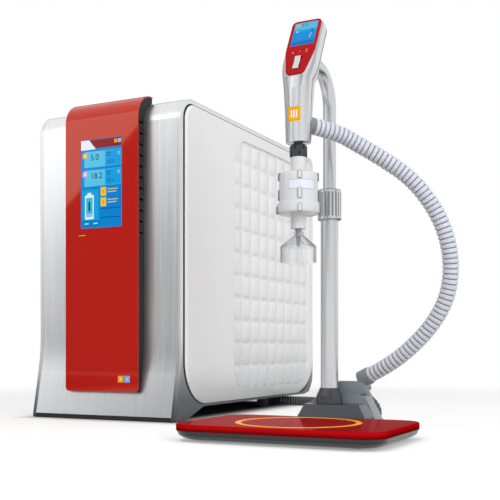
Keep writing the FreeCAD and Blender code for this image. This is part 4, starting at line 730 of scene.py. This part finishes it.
# %% [markdown]
# ## Dark gaskets round the covers
# A thin dark rubber lip fills the joint between each cover and its frame; it also stands in for the
# shade in that groove, as painted shade. It starts as the cover's own outline, whose upper and
# lower corners get their two radii from a vertex bevel. The outline is extruded outwards to a
# ribbon, and the run under the cover, which does not show, is cut away.

# %% Cover gaskets
LIP_FRONT, LIP_TOP = 5 * MM, 1.5 * MM
LIP_PROUD = 0.2 * MM
COVER_LOW_R, COVER_HIGH_R = 75 * MM, 30 * MM


def cover_gasket_shade(name, cover, frame_node, side):
    low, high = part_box(cover)
    frame_low, frame_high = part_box(frame_node)
    level = (frame_high.x if side > 0 else frame_low.x) + side * LIP_PROUD
    deep, tall = high.y - low.y, high.z - low.z
    lip = flat_grid(deep, tall)
    for half, radius in ((1, COVER_HIGH_R), (-1, COVER_LOW_R)):
        corners = [vertex for vertex in lip.verts if vertex.co.y * half > 0]
        round_off(lip, corners, radius, 14, "VERTICES")
    bmesh.ops.delete(lip, geom=lip.faces[:], context="FACES_ONLY")
    outer = extruded(lip, lip.edges[:])
    bmesh.ops.scale(lip, verts=outer, vec=(1 + 2 * LIP_FRONT / deep, 1 + 2 * LIP_TOP / tall, 1))
    bottom = [face for face in lip.faces if face.calc_center_median().y < -tall / 2]
    bmesh.ops.delete(lip, geom=bottom, context="FACES")
    upright = Matrix(((0, 0, 1, level), (1, 0, 0, (low.y + high.y) / 2),
                      (0, 1, 0, (low.z + high.z) / 2), (0, 0, 0, 1)))
    bmesh.ops.transform(lip, verts=lip.verts, matrix=upright)
    face_outward(lip, (side, 0, 0))
    finish_mesh(name, lip, "cabinet", "rubber", paints=["rubber"])


# Each lip is dark rubber that is also painted shade for the groove round its cover.
cover_gasket_shade("gasket_shade_right", "side_cover_right", "side_frame_right", 1)
cover_gasket_shade("gasket_shade_left", "side_cover_left", "side_frame_left", -1)

# %% [markdown]
# ## Ring on the tray
# A bottle stands inside an orange ring let into the tray. It is one flat band, turned with a spin.

# %% Tray ring
RING_BAND = 8 * MM
RING_EASE, RING_RISE = 0.2 * MM, 0.3 * MM
ring_low, ring_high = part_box("ring_inlay")
ring_middle = middle("ring_inlay")
outer_radius = (ring_high.x - ring_low.x) / 2
inner_radius = outer_radius - RING_BAND
ring = bmesh.new()
turn_chain(ring, [ring.verts.new((radius, 0, rise)) for radius, rise in (
    (outer_radius, 0), (outer_radius - RING_EASE, RING_RISE),
    (inner_radius + RING_EASE, RING_RISE), (inner_radius, 0))], 96)
face_outward(ring, (0, 0, 1))
move(ring, ring_middle.x, ring_middle.y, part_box("tray_cover")[1].z)
finish_mesh("tray_ring", ring, "cabinet", slots["ring_inlay"], "ring_inlay", paints=["ring_orange"])

# %% [markdown]
# ## Flat graphics
# Displays, badges and icons are thin plates laid a twentieth of a millimetre above each other. A
# plate starts as one face, its corners are rounded with a vertex bevel, and it is placed with one
# matrix, so that the same drawing code serves the upright screen and the tilted handset.

# %% Plates and figures
LAYER = 0.05                 # millimetres between two layers of a page
FONT_SIZE = 1.4              # that gives figures of height one
DISC_SIDES = 24


class Drawing:
    """Collects plates and figures, drawn in millimetres on a flat page."""

    def __init__(self):
        self.page = bmesh.new()
        self.paints = []

    def paint(self, name):
        if name not in self.paints:
            self.paints.append(name)
        return self.paints.index(name)

    def take(self, shape, layer, paint):
        """Adds a finished shape to the page, raised by its layer."""
        index = self.paint(paint)
        bmesh.ops.translate(shape, verts=shape.verts, vec=(0, 0, LAYER * layer))
        for face in shape.faces:
            face.material_index = index
        pour(shape, self.page)

    def plate(self, x, y, width, height, paint, radius=0, layer=1, turn=0):
        shape = flat_grid(width, height)
        if radius:
            round_off(shape, shape.verts[:], radius, 5, "VERTICES")
        swing(shape, turn)
        move(shape, x, y)
        self.take(shape, layer, paint)

    def disc(self, x, y, radius, paint, layer=1, hole=0.0):
        shape = bmesh.new()
        if hole:
            turn_chain(shape, [shape.verts.new((r, 0, 0)) for r in (hole, radius)], DISC_SIDES)
        else:
            bmesh.ops.create_circle(shape, cap_ends=True, segments=DISC_SIDES, radius=radius)
        move(shape, x, y)
        self.take(shape, layer, paint)

    def figures(self, text, x, y, height, paint, layer=2):
        """Figures as on a dial, standing on the point x, y."""
        curve = bpy.data.curves.new("figures", "FONT")
        curve.body = text
        curve.size = height * FONT_SIZE
        writing = add_object("figures", curve)
        mesh = as_mesh(writing)
        shape = bmesh.new()
        shape.from_mesh(mesh)
        bpy.data.objects.remove(writing)
        bpy.data.meshes.remove(mesh)
        move(shape, x, y)
        self.take(shape, layer, paint)

    def done(self, name, matrix, body, slot):
        """Stands the page up at its place and makes it a piece."""
        bmesh.ops.recalc_face_normals(self.page, faces=self.page.faces)
        for face in self.page.faces:
            if face.normal.z < 0:
                face.normal_flip()
        bmesh.ops.scale(self.page, verts=self.page.verts, vec=(MM, MM, MM))
        bmesh.ops.transform(self.page, verts=self.page.verts, matrix=matrix)
        finish_mesh(name, self.page, body, slot, paints=self.paints)


def page_at(x, y, z, tilt=0.0):
    """Stands a page up facing the front, leaning back by a tilt, with its origin at a point."""
    lean = Matrix.Rotation(-math.radians(tilt), 4, "X")
    stand = Matrix.Rotation(math.radians(90), 4, "X")
    return Matrix.Translation((x, y, z)) @ lean @ stand


# %% [markdown]
# ## Touch screen
# The display shows two readings on pale cards, a cartridge that fills from below, two yellow
# notes and two keys. A header band closes it at the top with a white tab on its left.

# %% Screen paints
DISPLAY_BASE = 0.3           # how dark a display looks when it is off


def lit(name, colour, glow=0.85):
    """A paint that glows a little, as a display does."""
    shown = tuple(round(channel * DISPLAY_BASE) for channel in colour)
    finish(name, gloss, shown, 0.1, Shade=0.02, Smear=0.02,
           Emission_Color=srgb(*colour), Emission_Strength=glow, Specular_IOR_Level=0.2)


for paint, colour in (("card", (84, 200, 240)), ("panel", (10, 162, 228)),
                      ("white", (240, 246, 250)), ("band", (140, 16, 24)),
                      ("orange", (248, 160, 30)), ("pink", (214, 170, 214)),
                      ("yellow", (250, 206, 20)), ("pale", (150, 196, 240)),
                      ("cyan", (40, 196, 222))):
    lit("display_" + paint, colour)
lit("display_dark", (52, 66, 80), 0.1)
lit("display_line", (16, 108, 178), 0.3)
print("display paints ready")

# %% Draw the touch screen
screen_wide = (screen_high.x - screen_low.x) / MM
screen_tall = (screen_high.z - screen_low.z) / MM
display = Drawing()


def on_screen(u, v):
    """A place given in shares of the screen, from its upper left corner."""
    return u * screen_wide, (1 - v) * screen_tall


def screen_box(u, v, wide, tall, paint, radius=0.8, layer=1):
    x, y = on_screen(u + wide / 2, v + tall / 2)
    display.plate(x, y, wide * screen_wide, tall * screen_tall, "display_" + paint, radius, layer)


screen_box(0.005, 0.004, 0.99, 0.10, "band", 0.5)
screen_box(0.005, 0.004, 0.20, 0.11, "white", 0.5, 2)
for step in range(6):
    screen_box(0.19, 0.004 + step * 0.018, 0.03 + 0.028 * step, 0.019, "white", 0, 2)
screen_box(0.82, 0.022, 0.075, 0.042, "orange", 0.4, 3)
screen_box(0.91, 0.022, 0.075, 0.042, "pale", 0.4, 3)
for v, tall, reading, small, badge in ((0.135, 0.18, "5.0", "20.0", "orange"),
                                       (0.345, 0.185, "18.2", "20.1", "pink")):
    screen_box(0.085, v, 0.90, tall, "card", 1.2, 1)
    screen_box(0.60, v + 0.004, 0.38, tall - 0.008, "panel", 1.0, 2)
    screen_box(0.045, v + 0.012, 0.125, 0.062, badge, 0.8, 3)
    screen_box(0.085, v + 0.028, 0.045, 0.030, "white", 0.3, 4)
    display.figures(reading, *on_screen(0.24, v + 0.100), 10.5, "display_dark", 3)
    display.figures(small, *on_screen(0.64, v + 0.150), 6.0, "display_line", 3)
    display.disc(*on_screen(0.93, v + 0.045), 2.6, "display_white", 3, hole=2.0)
    for line in range(2):
        screen_box(0.63, v + 0.03 + line * 0.026, 0.11, 0.008, "line", 0, 3)
print("cards drawn")

# %% Draw the cartridge, the notes and the keys
for box in ((0.03, 0.565, 0.42, 0.345, "panel", 1.0, 1),
            (0.105, 0.625, 0.215, 0.275, "white", 1.6, 2),
            (0.165, 0.600, 0.095, 0.030, "white", 0.8, 2),
            (0.130, 0.655, 0.165, 0.215, "cyan", 1.0, 3),
            (0.130, 0.835, 0.165, 0.040, "pale", 0.6, 4),
            (0.190, 0.700, 0.045, 0.110, "line", 1.8, 4)):
    screen_box(*box)
for tick in range(7):
    screen_box(0.36, 0.625 + tick * 0.038, 0.035, 0.006, "cyan", 0, 2)
for v in (0.548, 0.665):
    screen_box(0.49, v, 0.135, 0.098, "yellow", 0.6, 3)
    screen_box(0.535, v + 0.030, 0.045, 0.038, "orange", 0.8, 4)
    for line in range(2):
        screen_box(0.66, v + 0.022 + line * 0.030, 0.24 - 0.03 * line, 0.009, "yellow", 0, 3)
for v in (0.785, 0.885):
    screen_box(0.485, v, 0.50, 0.008, "line", 0, 2)
for u in (0.05, 0.27):
    screen_box(u, 0.925, 0.19, 0.048, "line", 0.8, 2)
    screen_box(u + 0.012, 0.931, 0.166, 0.036, "panel", 0.6, 3)
    screen_box(u + 0.05, 0.945, 0.09, 0.008, "white", 0, 4)
display.done("screen_graphics", page_at(*screen_low), "cabinet", "screen")

# %% [markdown]
# ## Fascia marks
# A short orange line under the display and two small squares, orange and pale blue, low on the
# right are printed on the back of the glass.

# %% Draw the fascia marks
finish("print_orange", gloss, (247, 166, 30), 0.1)
finish("print_blue", gloss, (124, 178, 236), 0.1)
finish("print_white", gloss, (240, 240, 236), 0.15)
MARK_Y = 22                  # millimetres above the glass's lower end
marks = Drawing()
marks.plate(36, 272, 15, 1.6, "print_orange", 0.3)
for x, paint, bars in ((117, "print_orange", (-1.2, 1.2)), (130, "print_blue", (0,))):
    marks.plate(x, MARK_Y, 11.5, 11.5, paint, 0.6)
    for bar in bars:
        marks.plate(x + bar, MARK_Y, 1.3, 5.0, "print_white", 0.2, 2)
marks.done("fascia_marks", page_at(*glass_low), "cabinet", "red_glass")

# %% [markdown]
# ## Handset face
# The handset's display and its three small icons lie on the tilted red plate. The badge on the
# grip is a plate that a Shrinkwrap modifier lays over the round shell.

# %% Handset face graphics
TILT = 28.0                  # degrees, how far the plate leans back
PLATE_FOOT = Vector((dispense.x, dispense.y - 13 * MM, 490.3 * MM))   # the head's lower end
PLATE_START = 2 * MM         # from the head's lower end to the plate's
lean_sine, lean_cosine = math.sin(math.radians(TILT)), math.cos(math.radians(TILT))


def on_plate(rise, proud):
    """A point on the plate's middle line, up its slope from its lower end and out of its face."""
    up = Vector((0, lean_sine, lean_cosine))
    out = Vector((0, -lean_cosine, lean_sine))
    return PLATE_FOOT + up * (PLATE_START + rise) + out * proud


lit("lcd_top", (76, 188, 224))
lit("lcd_middle", (10, 160, 218))
lit("lcd_deep", (0, 104, 186))
lit("lcd_figures", (40, 84, 116), 0.3)
face = Drawing()
face.plate(0, 14.6, 33.6, 12.8, "lcd_top", 0.6, 1)
face.plate(0, 6.0, 33.6, 4.4, "lcd_middle", 0.3, 1)
face.plate(0, -17.2, 33.6, 7.2, "lcd_deep", 0.6, 1)
face.plate(-12.2, 16.2, 5.2, 4.4, "display_orange", 0.8, 2)
face.figures("5.0", -6.5, 14.0, 5.0, "lcd_figures", 2)
face.disc(-11.6, 5.0, 2.1, "display_pale", 2)
face.disc(10.6, 4.2, 1.5, "lcd_figures", 2)
face.plate(9.4, -4.6, 2.0, 9.0, "display_pale", 0.9, 2, turn=-14)
face.plate(-7.0, -3.0, 8.0, 1.0, "lcd_middle", 0.3, 2)
face.plate(-5.0, -7.0, 12.0, 1.0, "lcd_middle", 0.3, 2)
face.done("handset_graphics", page_at(*on_plate(73.2 * MM, 1.42 * MM), tilt=TILT), "mast", "lcd")

# %% Handset icons
finish("icon_salmon", gloss, (238, 120, 112), 0.2)
icons = Drawing()
icons.disc(0, -0.6, 0.9, "icon_salmon")
for x, y, wide, tall, radius, turn in ((-10.5, -1.0, 3.4, 1.1, 0.4, 35),
                                       (-9.6, -2.4, 2.6, 1.1, 0.4, -35),
                                       (9.8, 1.6, 3.4, 1.0, 0.3, 0), (9.8, -2.8, 3.4, 1.0, 0.3, 0),
                                       (9.8, -0.6, 1.3, 4.0, 0.5, 0)):
    icons.plate(x, y, wide, tall, "icon_salmon", radius, turn=turn)
icons.done("handset_icons", page_at(*on_plate(40.5 * MM, 1.62 * MM), tilt=TILT), "mast",
           "face_red")

# %% Grip badge
finish("badge_orange", gloss, (234, 168, 0), 0.3, Specular_IOR_Level=0.2)
finish("badge_white", gloss, (246, 246, 244), 0.2)
BADGE_Z = 438.5 * MM
BADGE_OUT = 0.12 * MM        # one layer's distance from the shell
GRIP_FRONT = 30 * MM         # a place ahead of the grip, from the dispense axis


def wrapped_plate(name, width, height, paint, aside, slot, layer=1):
    """A fine grid laid over the grip from the front, a hair above its surface."""
    patch = flat_grid(width, height, 24, 12)
    place = page_at(dispense.x + aside, dispense.y - GRIP_FRONT, BADGE_Z)
    bmesh.ops.transform(patch, verts=patch.verts, matrix=place)
    piece = finish_mesh(name, patch, "mast", slot, paints=[paint])
    wrap = piece.modifiers.new("wrap", "SHRINKWRAP")
    wrap.target = nodes["handset_front_shell"]
    wrap.wrap_method = "PROJECT"
    wrap.use_project_y = True
    wrap.use_positive_direction = True
    wrap.use_negative_direction = False
    wrap.offset = BADGE_OUT * layer
    wrap.wrap_mode = "ABOVE_SURFACE"
    apply_modifiers(piece)


wrapped_plate("grip_badge", 18.6 * MM, 19.2 * MM, "badge_orange", 0, "ring_orange")
for bar in (-1, 0, 1):
    wrapped_plate("badge_bar_%d" % (bar + 2), 1.9 * MM, 10 * MM, "badge_white", bar * 3.6 * MM,
                  "filter_white", layer=2)

# %% [markdown]
# ## Filter capsule
# A capsule filter is two round housings welded together. Each is a profile turned with a spin, its
# shoulders rounded with an edge bevel. Ribs and lugs stand on four sides: each is a small block
# with round ends on a slightly larger plate, and the plate and the block's walls carry painted
# shade for the shade that such a step shows.

# %% Capsule finishes
# The grey below is painted shade for the ribs' walls and the plates under them.
finish("capsule_rib_shade", moulded, (118, 121, 124), 0.5)
finish("barb_grey", moulded, (150, 153, 156), 0.4)
finish("label_paper", moulded, (222, 224, 236), 0.5, Shade=0.04)
finish("label_edge", moulded, (150, 154, 172), 0.5)
print("capsule finishes ready")

# %% Turned housings and their ribs
neck_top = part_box("filter_housing_upper")[1].z
barb_tip, seam = (corner.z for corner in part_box("filter_housing_lower"))
SHOULDER, CUP_FOOT, OUTLET_FOOT = 361.5 * MM, 305 * MM, 285.5 * MM
CAPSULE_R, CUP_R = 26.2 * MM, 28.6 * MM
CAPSULE_TURN = 27.0          # degrees, how far the capsule is screwed round on its nut
NECK_R = OUTLET_R = 10.5 * MM
RIB_WIDE, RIB_PROUD = 4.6 * MM, 1.5 * MM
SHADE_PLATE_WIDE, SHADE_PLATE_PROUD = 1.3 * MM, 0.3 * MM
RIB_THICK = 3 * MM
RIB_ENDS = 0.45              # radius of a rib's round ends, as a share of its width
NEARLY = 0.01 * MM


def turned_piece(profile, rounded=(), steps=64):
    """Turns (radius, height) points round the z axis; rounded gives the hoops to round off."""
    shape = bmesh.new()
    turn_chain(shape, [shape.verts.new((radius, 0, height)) for radius, height in profile], steps)
    for radius, height, size in rounded:
        hoop = [edge for edge in shape.edges
                if all(abs(vertex.co.xy.length - radius) < NEARLY
                       and abs(vertex.co.z - height) < NEARLY for vertex in edge.verts)]
        round_off(shape, hoop, size, 5)
    bmesh.ops.recalc_face_normals(shape, faces=shape.faces)
    return shape


def add_ribs(shape, radius, foot, top):
    """Stands a rib, its walls and a plate under it in painted shade, on four sides of a turned
    shape.
    """
    for side in range(4):
        for grown, out, shade_plate in ((SHADE_PLATE_WIDE, SHADE_PLATE_PROUD, True), (0, RIB_PROUD, False)):
            rib = bmesh.new()
            bmesh.ops.create_cube(rib, size=1)
            bmesh.ops.scale(rib, verts=rib.verts,
                            vec=(RIB_WIDE + grown, RIB_THICK, top - foot + grown))
            across = [edge for edge in rib.edges
                      if abs(edge.verts[0].co.y - edge.verts[1].co.y) > MM]
            round_off(rib, across, (RIB_WIDE + grown) * RIB_ENDS, 4)
            bmesh.ops.recalc_face_normals(rib, faces=rib.faces)
            for face in rib.faces:
                # Painted shade on the plate under each rib and on the rib's side walls.
                face.material_index = 1 if shade_plate or abs(face.normal.y) < 0.7 else 0
            move(rib, 0, RIB_THICK / 2 - radius - out, (foot + top) / 2)
            swing(rib, CAPSULE_TURN + side * 90)
            pour(rib, shape)


def finish_capsule(name, shape, replaced, *paints):
    move(shape, dispense.x, dispense.y)
    finish_mesh(name, shape, "mast", "filter_white", replaced, paints=paints)


# %% Upper housing
upper = turned_piece([(0, neck_top), (NECK_R, neck_top), (NECK_R, SHOULDER), (CAPSULE_R, SHOULDER),
                      (CAPSULE_R, seam), (0, seam)],
                     [(CAPSULE_R, SHOULDER, 5 * MM), (NECK_R, SHOULDER, 1.5 * MM)])
add_ribs(upper, CAPSULE_R, SHOULDER - 11 * MM, SHOULDER - 0.5 * MM)
add_ribs(upper, CAPSULE_R, seam + 3 * MM, seam + 17 * MM)
finish_capsule("capsule_upper", upper, "filter_housing_upper", "filter_white", "capsule_rib_shade")

# %% Lower housing with its outlet barb
BARB_R, BARB_STEPS = 4.6 * MM, 5
lower = turned_piece([(0, seam), (CUP_R, seam), (CUP_R, CUP_FOOT), (OUTLET_R, CUP_FOOT),
                      (OUTLET_R, OUTLET_FOOT), (0, OUTLET_FOOT)],
                     [(CUP_R, seam, 0.8 * MM), (CUP_R, CUP_FOOT, 4 * MM),
                      (OUTLET_R, CUP_FOOT, 1.5 * MM), (OUTLET_R, OUTLET_FOOT, 0.8 * MM)])
add_ribs(lower, CUP_R, CUP_FOOT + 1 * MM, CUP_FOOT + 11 * MM)
steps_down = (OUTLET_FOOT - barb_tip) / BARB_STEPS
barb_points = [(0, OUTLET_FOOT), (BARB_R, OUTLET_FOOT)]
for step in range(BARB_STEPS):
    level = OUTLET_FOOT - step * steps_down
    radius = BARB_R - step * 0.5 * MM
    barb_points += [(radius, level - 0.2 * steps_down), (radius - 1.0 * MM, level - steps_down)]
barb = turned_piece(barb_points + [(0, barb_tip)], steps=24)
for face in barb.faces:
    face.material_index = 2
pour(barb, lower)
finish_capsule("capsule_lower", lower, "filter_housing_lower", "filter_white", "capsule_rib_shade",
               "barb_grey")

# %% [markdown]
# ## Filter label
# The capsule carries a blank printed label that follows its round wall: one upright edge turned
# part of the way round the same axis. A slightly larger label under it gives it a darker rim.

# %% Filter label
LABEL_FOOT, LABEL_TOP = 336 * MM, 349 * MM
LABEL_START, LABEL_END = -8, 76      # degrees round the capsule


def label_band(name, paint, rim, rim_turn, out):
    """A band of the label, smaller than the whole by a rim and lifted off the wall."""
    band = bmesh.new()
    ends = [band.verts.new((0, -CAPSULE_R - out, height))
            for height in (LABEL_FOOT + rim, LABEL_TOP - rim)]
    edge = band.edges.new(ends)
    swing(band, LABEL_START + rim_turn)
    bmesh.ops.spin(band, geom=ends + [edge], cent=(0, 0, 0), axis=(0, 0, 1),
                   angle=math.radians(LABEL_END - LABEL_START - 2 * rim_turn), steps=20)
    face_outward(band)
    move(band, dispense.x, dispense.y)
    finish_mesh(name, band, "mast", "filter_white", paints=[paint])


label_band("filter_label_edge", "label_edge", 0, 0, 0.1 * MM)
label_band("filter_label", "label_paper", 0.6 * MM, 1.3, 0.2 * MM)

# %% [markdown]
# ## Studio
# A pale floor that runs to a pale world. Rays from the camera, and those that a mirror or glass
# sends on, see plain white there, while the light that reaches the object stays at a plain level.
# Close to the object the floor is partly lit by the lamps, so that it keeps the soft shadow.
# Under the cabinet, and up to five centimetres beyond its outline, the floor is painted nearly
# black instead: a painted shadow.

# %% World
WORLD_LIGHT = 0.56
WHITE = (1, 1, 1, 1)


def seen_directly(tree):
    """One where the camera, a reflection or a look through glass meets this surface."""
    ray = add_node(tree, "LightPath").outputs
    mirrored = calculate(tree, "MAXIMUM", ray["Is Glossy Ray"], ray["Is Transmission Ray"])
    return calculate(tree, "MAXIMUM", ray["Is Camera Ray"], mirrored)


world = bpy.data.worlds.new("studio")
bpy.context.scene.world = world
world.use_nodes = True
sky = world.node_tree
sky.nodes.clear()
soft = add_node(sky, "Background", Color=WHITE, Strength=WORLD_LIGHT)
white = add_node(sky, "Background", Color=WHITE, Strength=1.0)
choice = mix_shaders(sky, seen_directly(sky), soft, white)
add_node(sky, "OutputWorld", Surface=choice.outputs[0])
print("world lit")

# %% Floor
FLOOR_SIDE = 16             # metres
FLOOR_SHADE = 0.74          # the part of the floor's tone that the lamps give
FLOOR_GLOW = 0.31           # and the part that is there in any light
NEAR, FAR = 0.8, 1.5        # metres from the middle, between which the floor turns plain white
# The painted shadow under the cabinet fades out between these two distances from its outline.
PAINTED_SHADOW_EDGE = -0.04, 0.05    # metres beyond the cabinet's outline, between which it gets its light
floor_data = mesh_from("floor", flat_grid(FLOOR_SIDE, FLOOR_SIDE))
add_object("floor", floor_data)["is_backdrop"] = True
pale, tree = new_material("pale_floor")
plain = tree.nodes["Principled BSDF"]
plain.inputs["Roughness"].default_value = 0.7
plain.inputs["Base Color"].default_value = (0.6, 0.6, 0.6, 1)
lit_part = add_node(tree, "BsdfDiffuse", Color=(FLOOR_SHADE, FLOOR_SHADE, FLOOR_SHADE, 1))
glow = add_node(tree, "Emission", Color=WHITE, Strength=FLOOR_GLOW)
near = add_node(tree, "AddShader", i0=lit_part.outputs[0], i1=glow.outputs[0])
# Painted shadow: the floor under the cabinet is painted nearly black.
under = add_node(tree, "BsdfDiffuse", Color=(0.05, 0.05, 0.05, 1))
far = add_node(tree, "Emission", Color=WHITE, Strength=1.0)
on_floor = add_node(tree, "TexCoord").outputs["Object"]
away = add_node(tree, "VectorMath", {"operation": "LENGTH"}, i0=on_floor).outputs["Value"]
fade = smooth_range(tree, away, NEAR, FAR)
axes = object_axes(tree)
beside = []
for along, low, high in ((axes[0], cabinet_low.x, cabinet_high.x),
                         (axes[1], cabinet_low.y, middle("rear_panel").y)):
    apart = calculate(tree, "ABSOLUTE", calculate(tree, "SUBTRACT", along, (low + high) / 2), 0)
    beside.append(calculate(tree, "SUBTRACT", apart, (high - low) / 2))
outside = calculate(tree, "MAXIMUM", *beside)
beyond_painted_shadow = smooth_range(tree, outside, *PAINTED_SHADOW_EDGE)
ground = mix_shaders(tree, beyond_painted_shadow, under, near)
shown = mix_shaders(tree, fade, ground, far)
both = mix_shaders(tree, seen_directly(tree), plain, shown)
tree.links.new(both.outputs[0], tree.nodes["Material Output"].inputs["Surface"])
floor_data.materials.append(pale)
print("floor laid")

# %% [markdown]
# Metal and glass only look like themselves when they have something to reflect. Dark cards, as a
# photographer would stand round the set, draw the bands down tubes and shells, and one bright card
# gives the red glass its slanting sheen. Most of them fade to white at the rim, so that no hard
# line shows in a reflection. Only reflections see them.

# %% Cards for the reflections
def card(name, place, ahead, width, height, level, turn=0.0, soft=True):
    """A card that looks along a way and shows only in reflections."""
    sheet = flat_grid(width, height, 4, 4)
    rim = sheet.verts.layers.float.new("rim")
    for vertex in sheet.verts:
        share = max(abs(vertex.co.x) / width, abs(vertex.co.y) / height)
        vertex[rim] = 1.0 if soft and share > 0.49 else 0.0
    facing = Vector(ahead).to_track_quat("Z", "Y").to_matrix().to_4x4()
    spin = Matrix.Rotation(math.radians(turn), 4, "Z")
    bmesh.ops.transform(sheet, verts=sheet.verts, matrix=Matrix.Translation(place) @ facing @ spin)
    data = mesh_from(name, sheet)
    stood = add_object(name, data)
    stood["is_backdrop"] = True
    for ray in ("camera", "diffuse", "transmission", "volume_scatter", "shadow"):
        setattr(stood, "visible_" + ray, False)
    paint, tree = new_material(name)
    tree.nodes.clear()
    fading = add_node(tree, "Attribute", {"attribute_name": "rim"}).outputs["Fac"]
    strength = smooth_range(tree, fading, 0.0, 1.0, level, 1.0)
    shine = add_node(tree, "Emission", Color=WHITE, Strength=strength)
    add_node(tree, "OutputMaterial", Surface=shine.outputs[0])
    data.materials.append(paint)


BACK, FRONT, RIGHT, UP = (0, 1, 0), (0, -1, 0), (1, 0, 0), (0, 0, 1)
card("card_fascia", (-1.62, -2.4, 0.7), BACK, 2.1, 3.2, 0.22)
card("card_foot", (-1.55, -1.55, 0.002), UP, 2.0, 1.7, 0.15)
card("card_sheen", (-2.21, -2.35, 1.40), BACK, 2.6, 1.2, 1.9, turn=-39.6, soft=False)
card("card_band", (1.22, -1.77, 1.62), (-1, 1.47, 0), 1.3, 1.9, 0.16)
card("card_behind", (-1.35, 1.75, 1.45), FRONT, 3.3, 1.9, 0.16, soft=False)
card("card_tray", (-0.65, 1.74, 0.23), FRONT, 1.4, 0.46, 0.34, soft=False)
card("card_left", (-3.2, -1.2, 0.9), RIGHT, 2.6, 3.4, 0.34)
card("card_ground", (0.75, 0.95, 0.002), UP, 1.5, 2.1, 0.03)
print("cards stood")

# %% Lamps
def softbox(name, place, target, side, power):
    """A square area lamp aimed at a point."""
    lamp_data = bpy.data.lights.new(name, "AREA")
    lamp_data.shape = "SQUARE"
    lamp_data.size = side
    lamp_data.energy = power
    lamp = add_object(name, lamp_data)
    lamp.location = place
    lamp.rotation_euler = (Vector(target) - Vector(place)).to_track_quat("-Z", "Y").to_euler()
    lamp.visible_glossy = False


softbox("key", (0.35, -2.3, 2.0), (0, 0, 0.3), 0.9, 24)
softbox("fill", (2.3, -1.3, 1.0), (0, 0, 0.3), 1.6, 26)
softbox("top", (-0.2, 0.2, 2.4), (0, 0, 0), 2.0, 8)
bpy.context.scene.view_settings.view_transform = "Standard"

low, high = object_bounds()
print("visual box", [round(v, 3) for corner in (low, high) for v in corner])
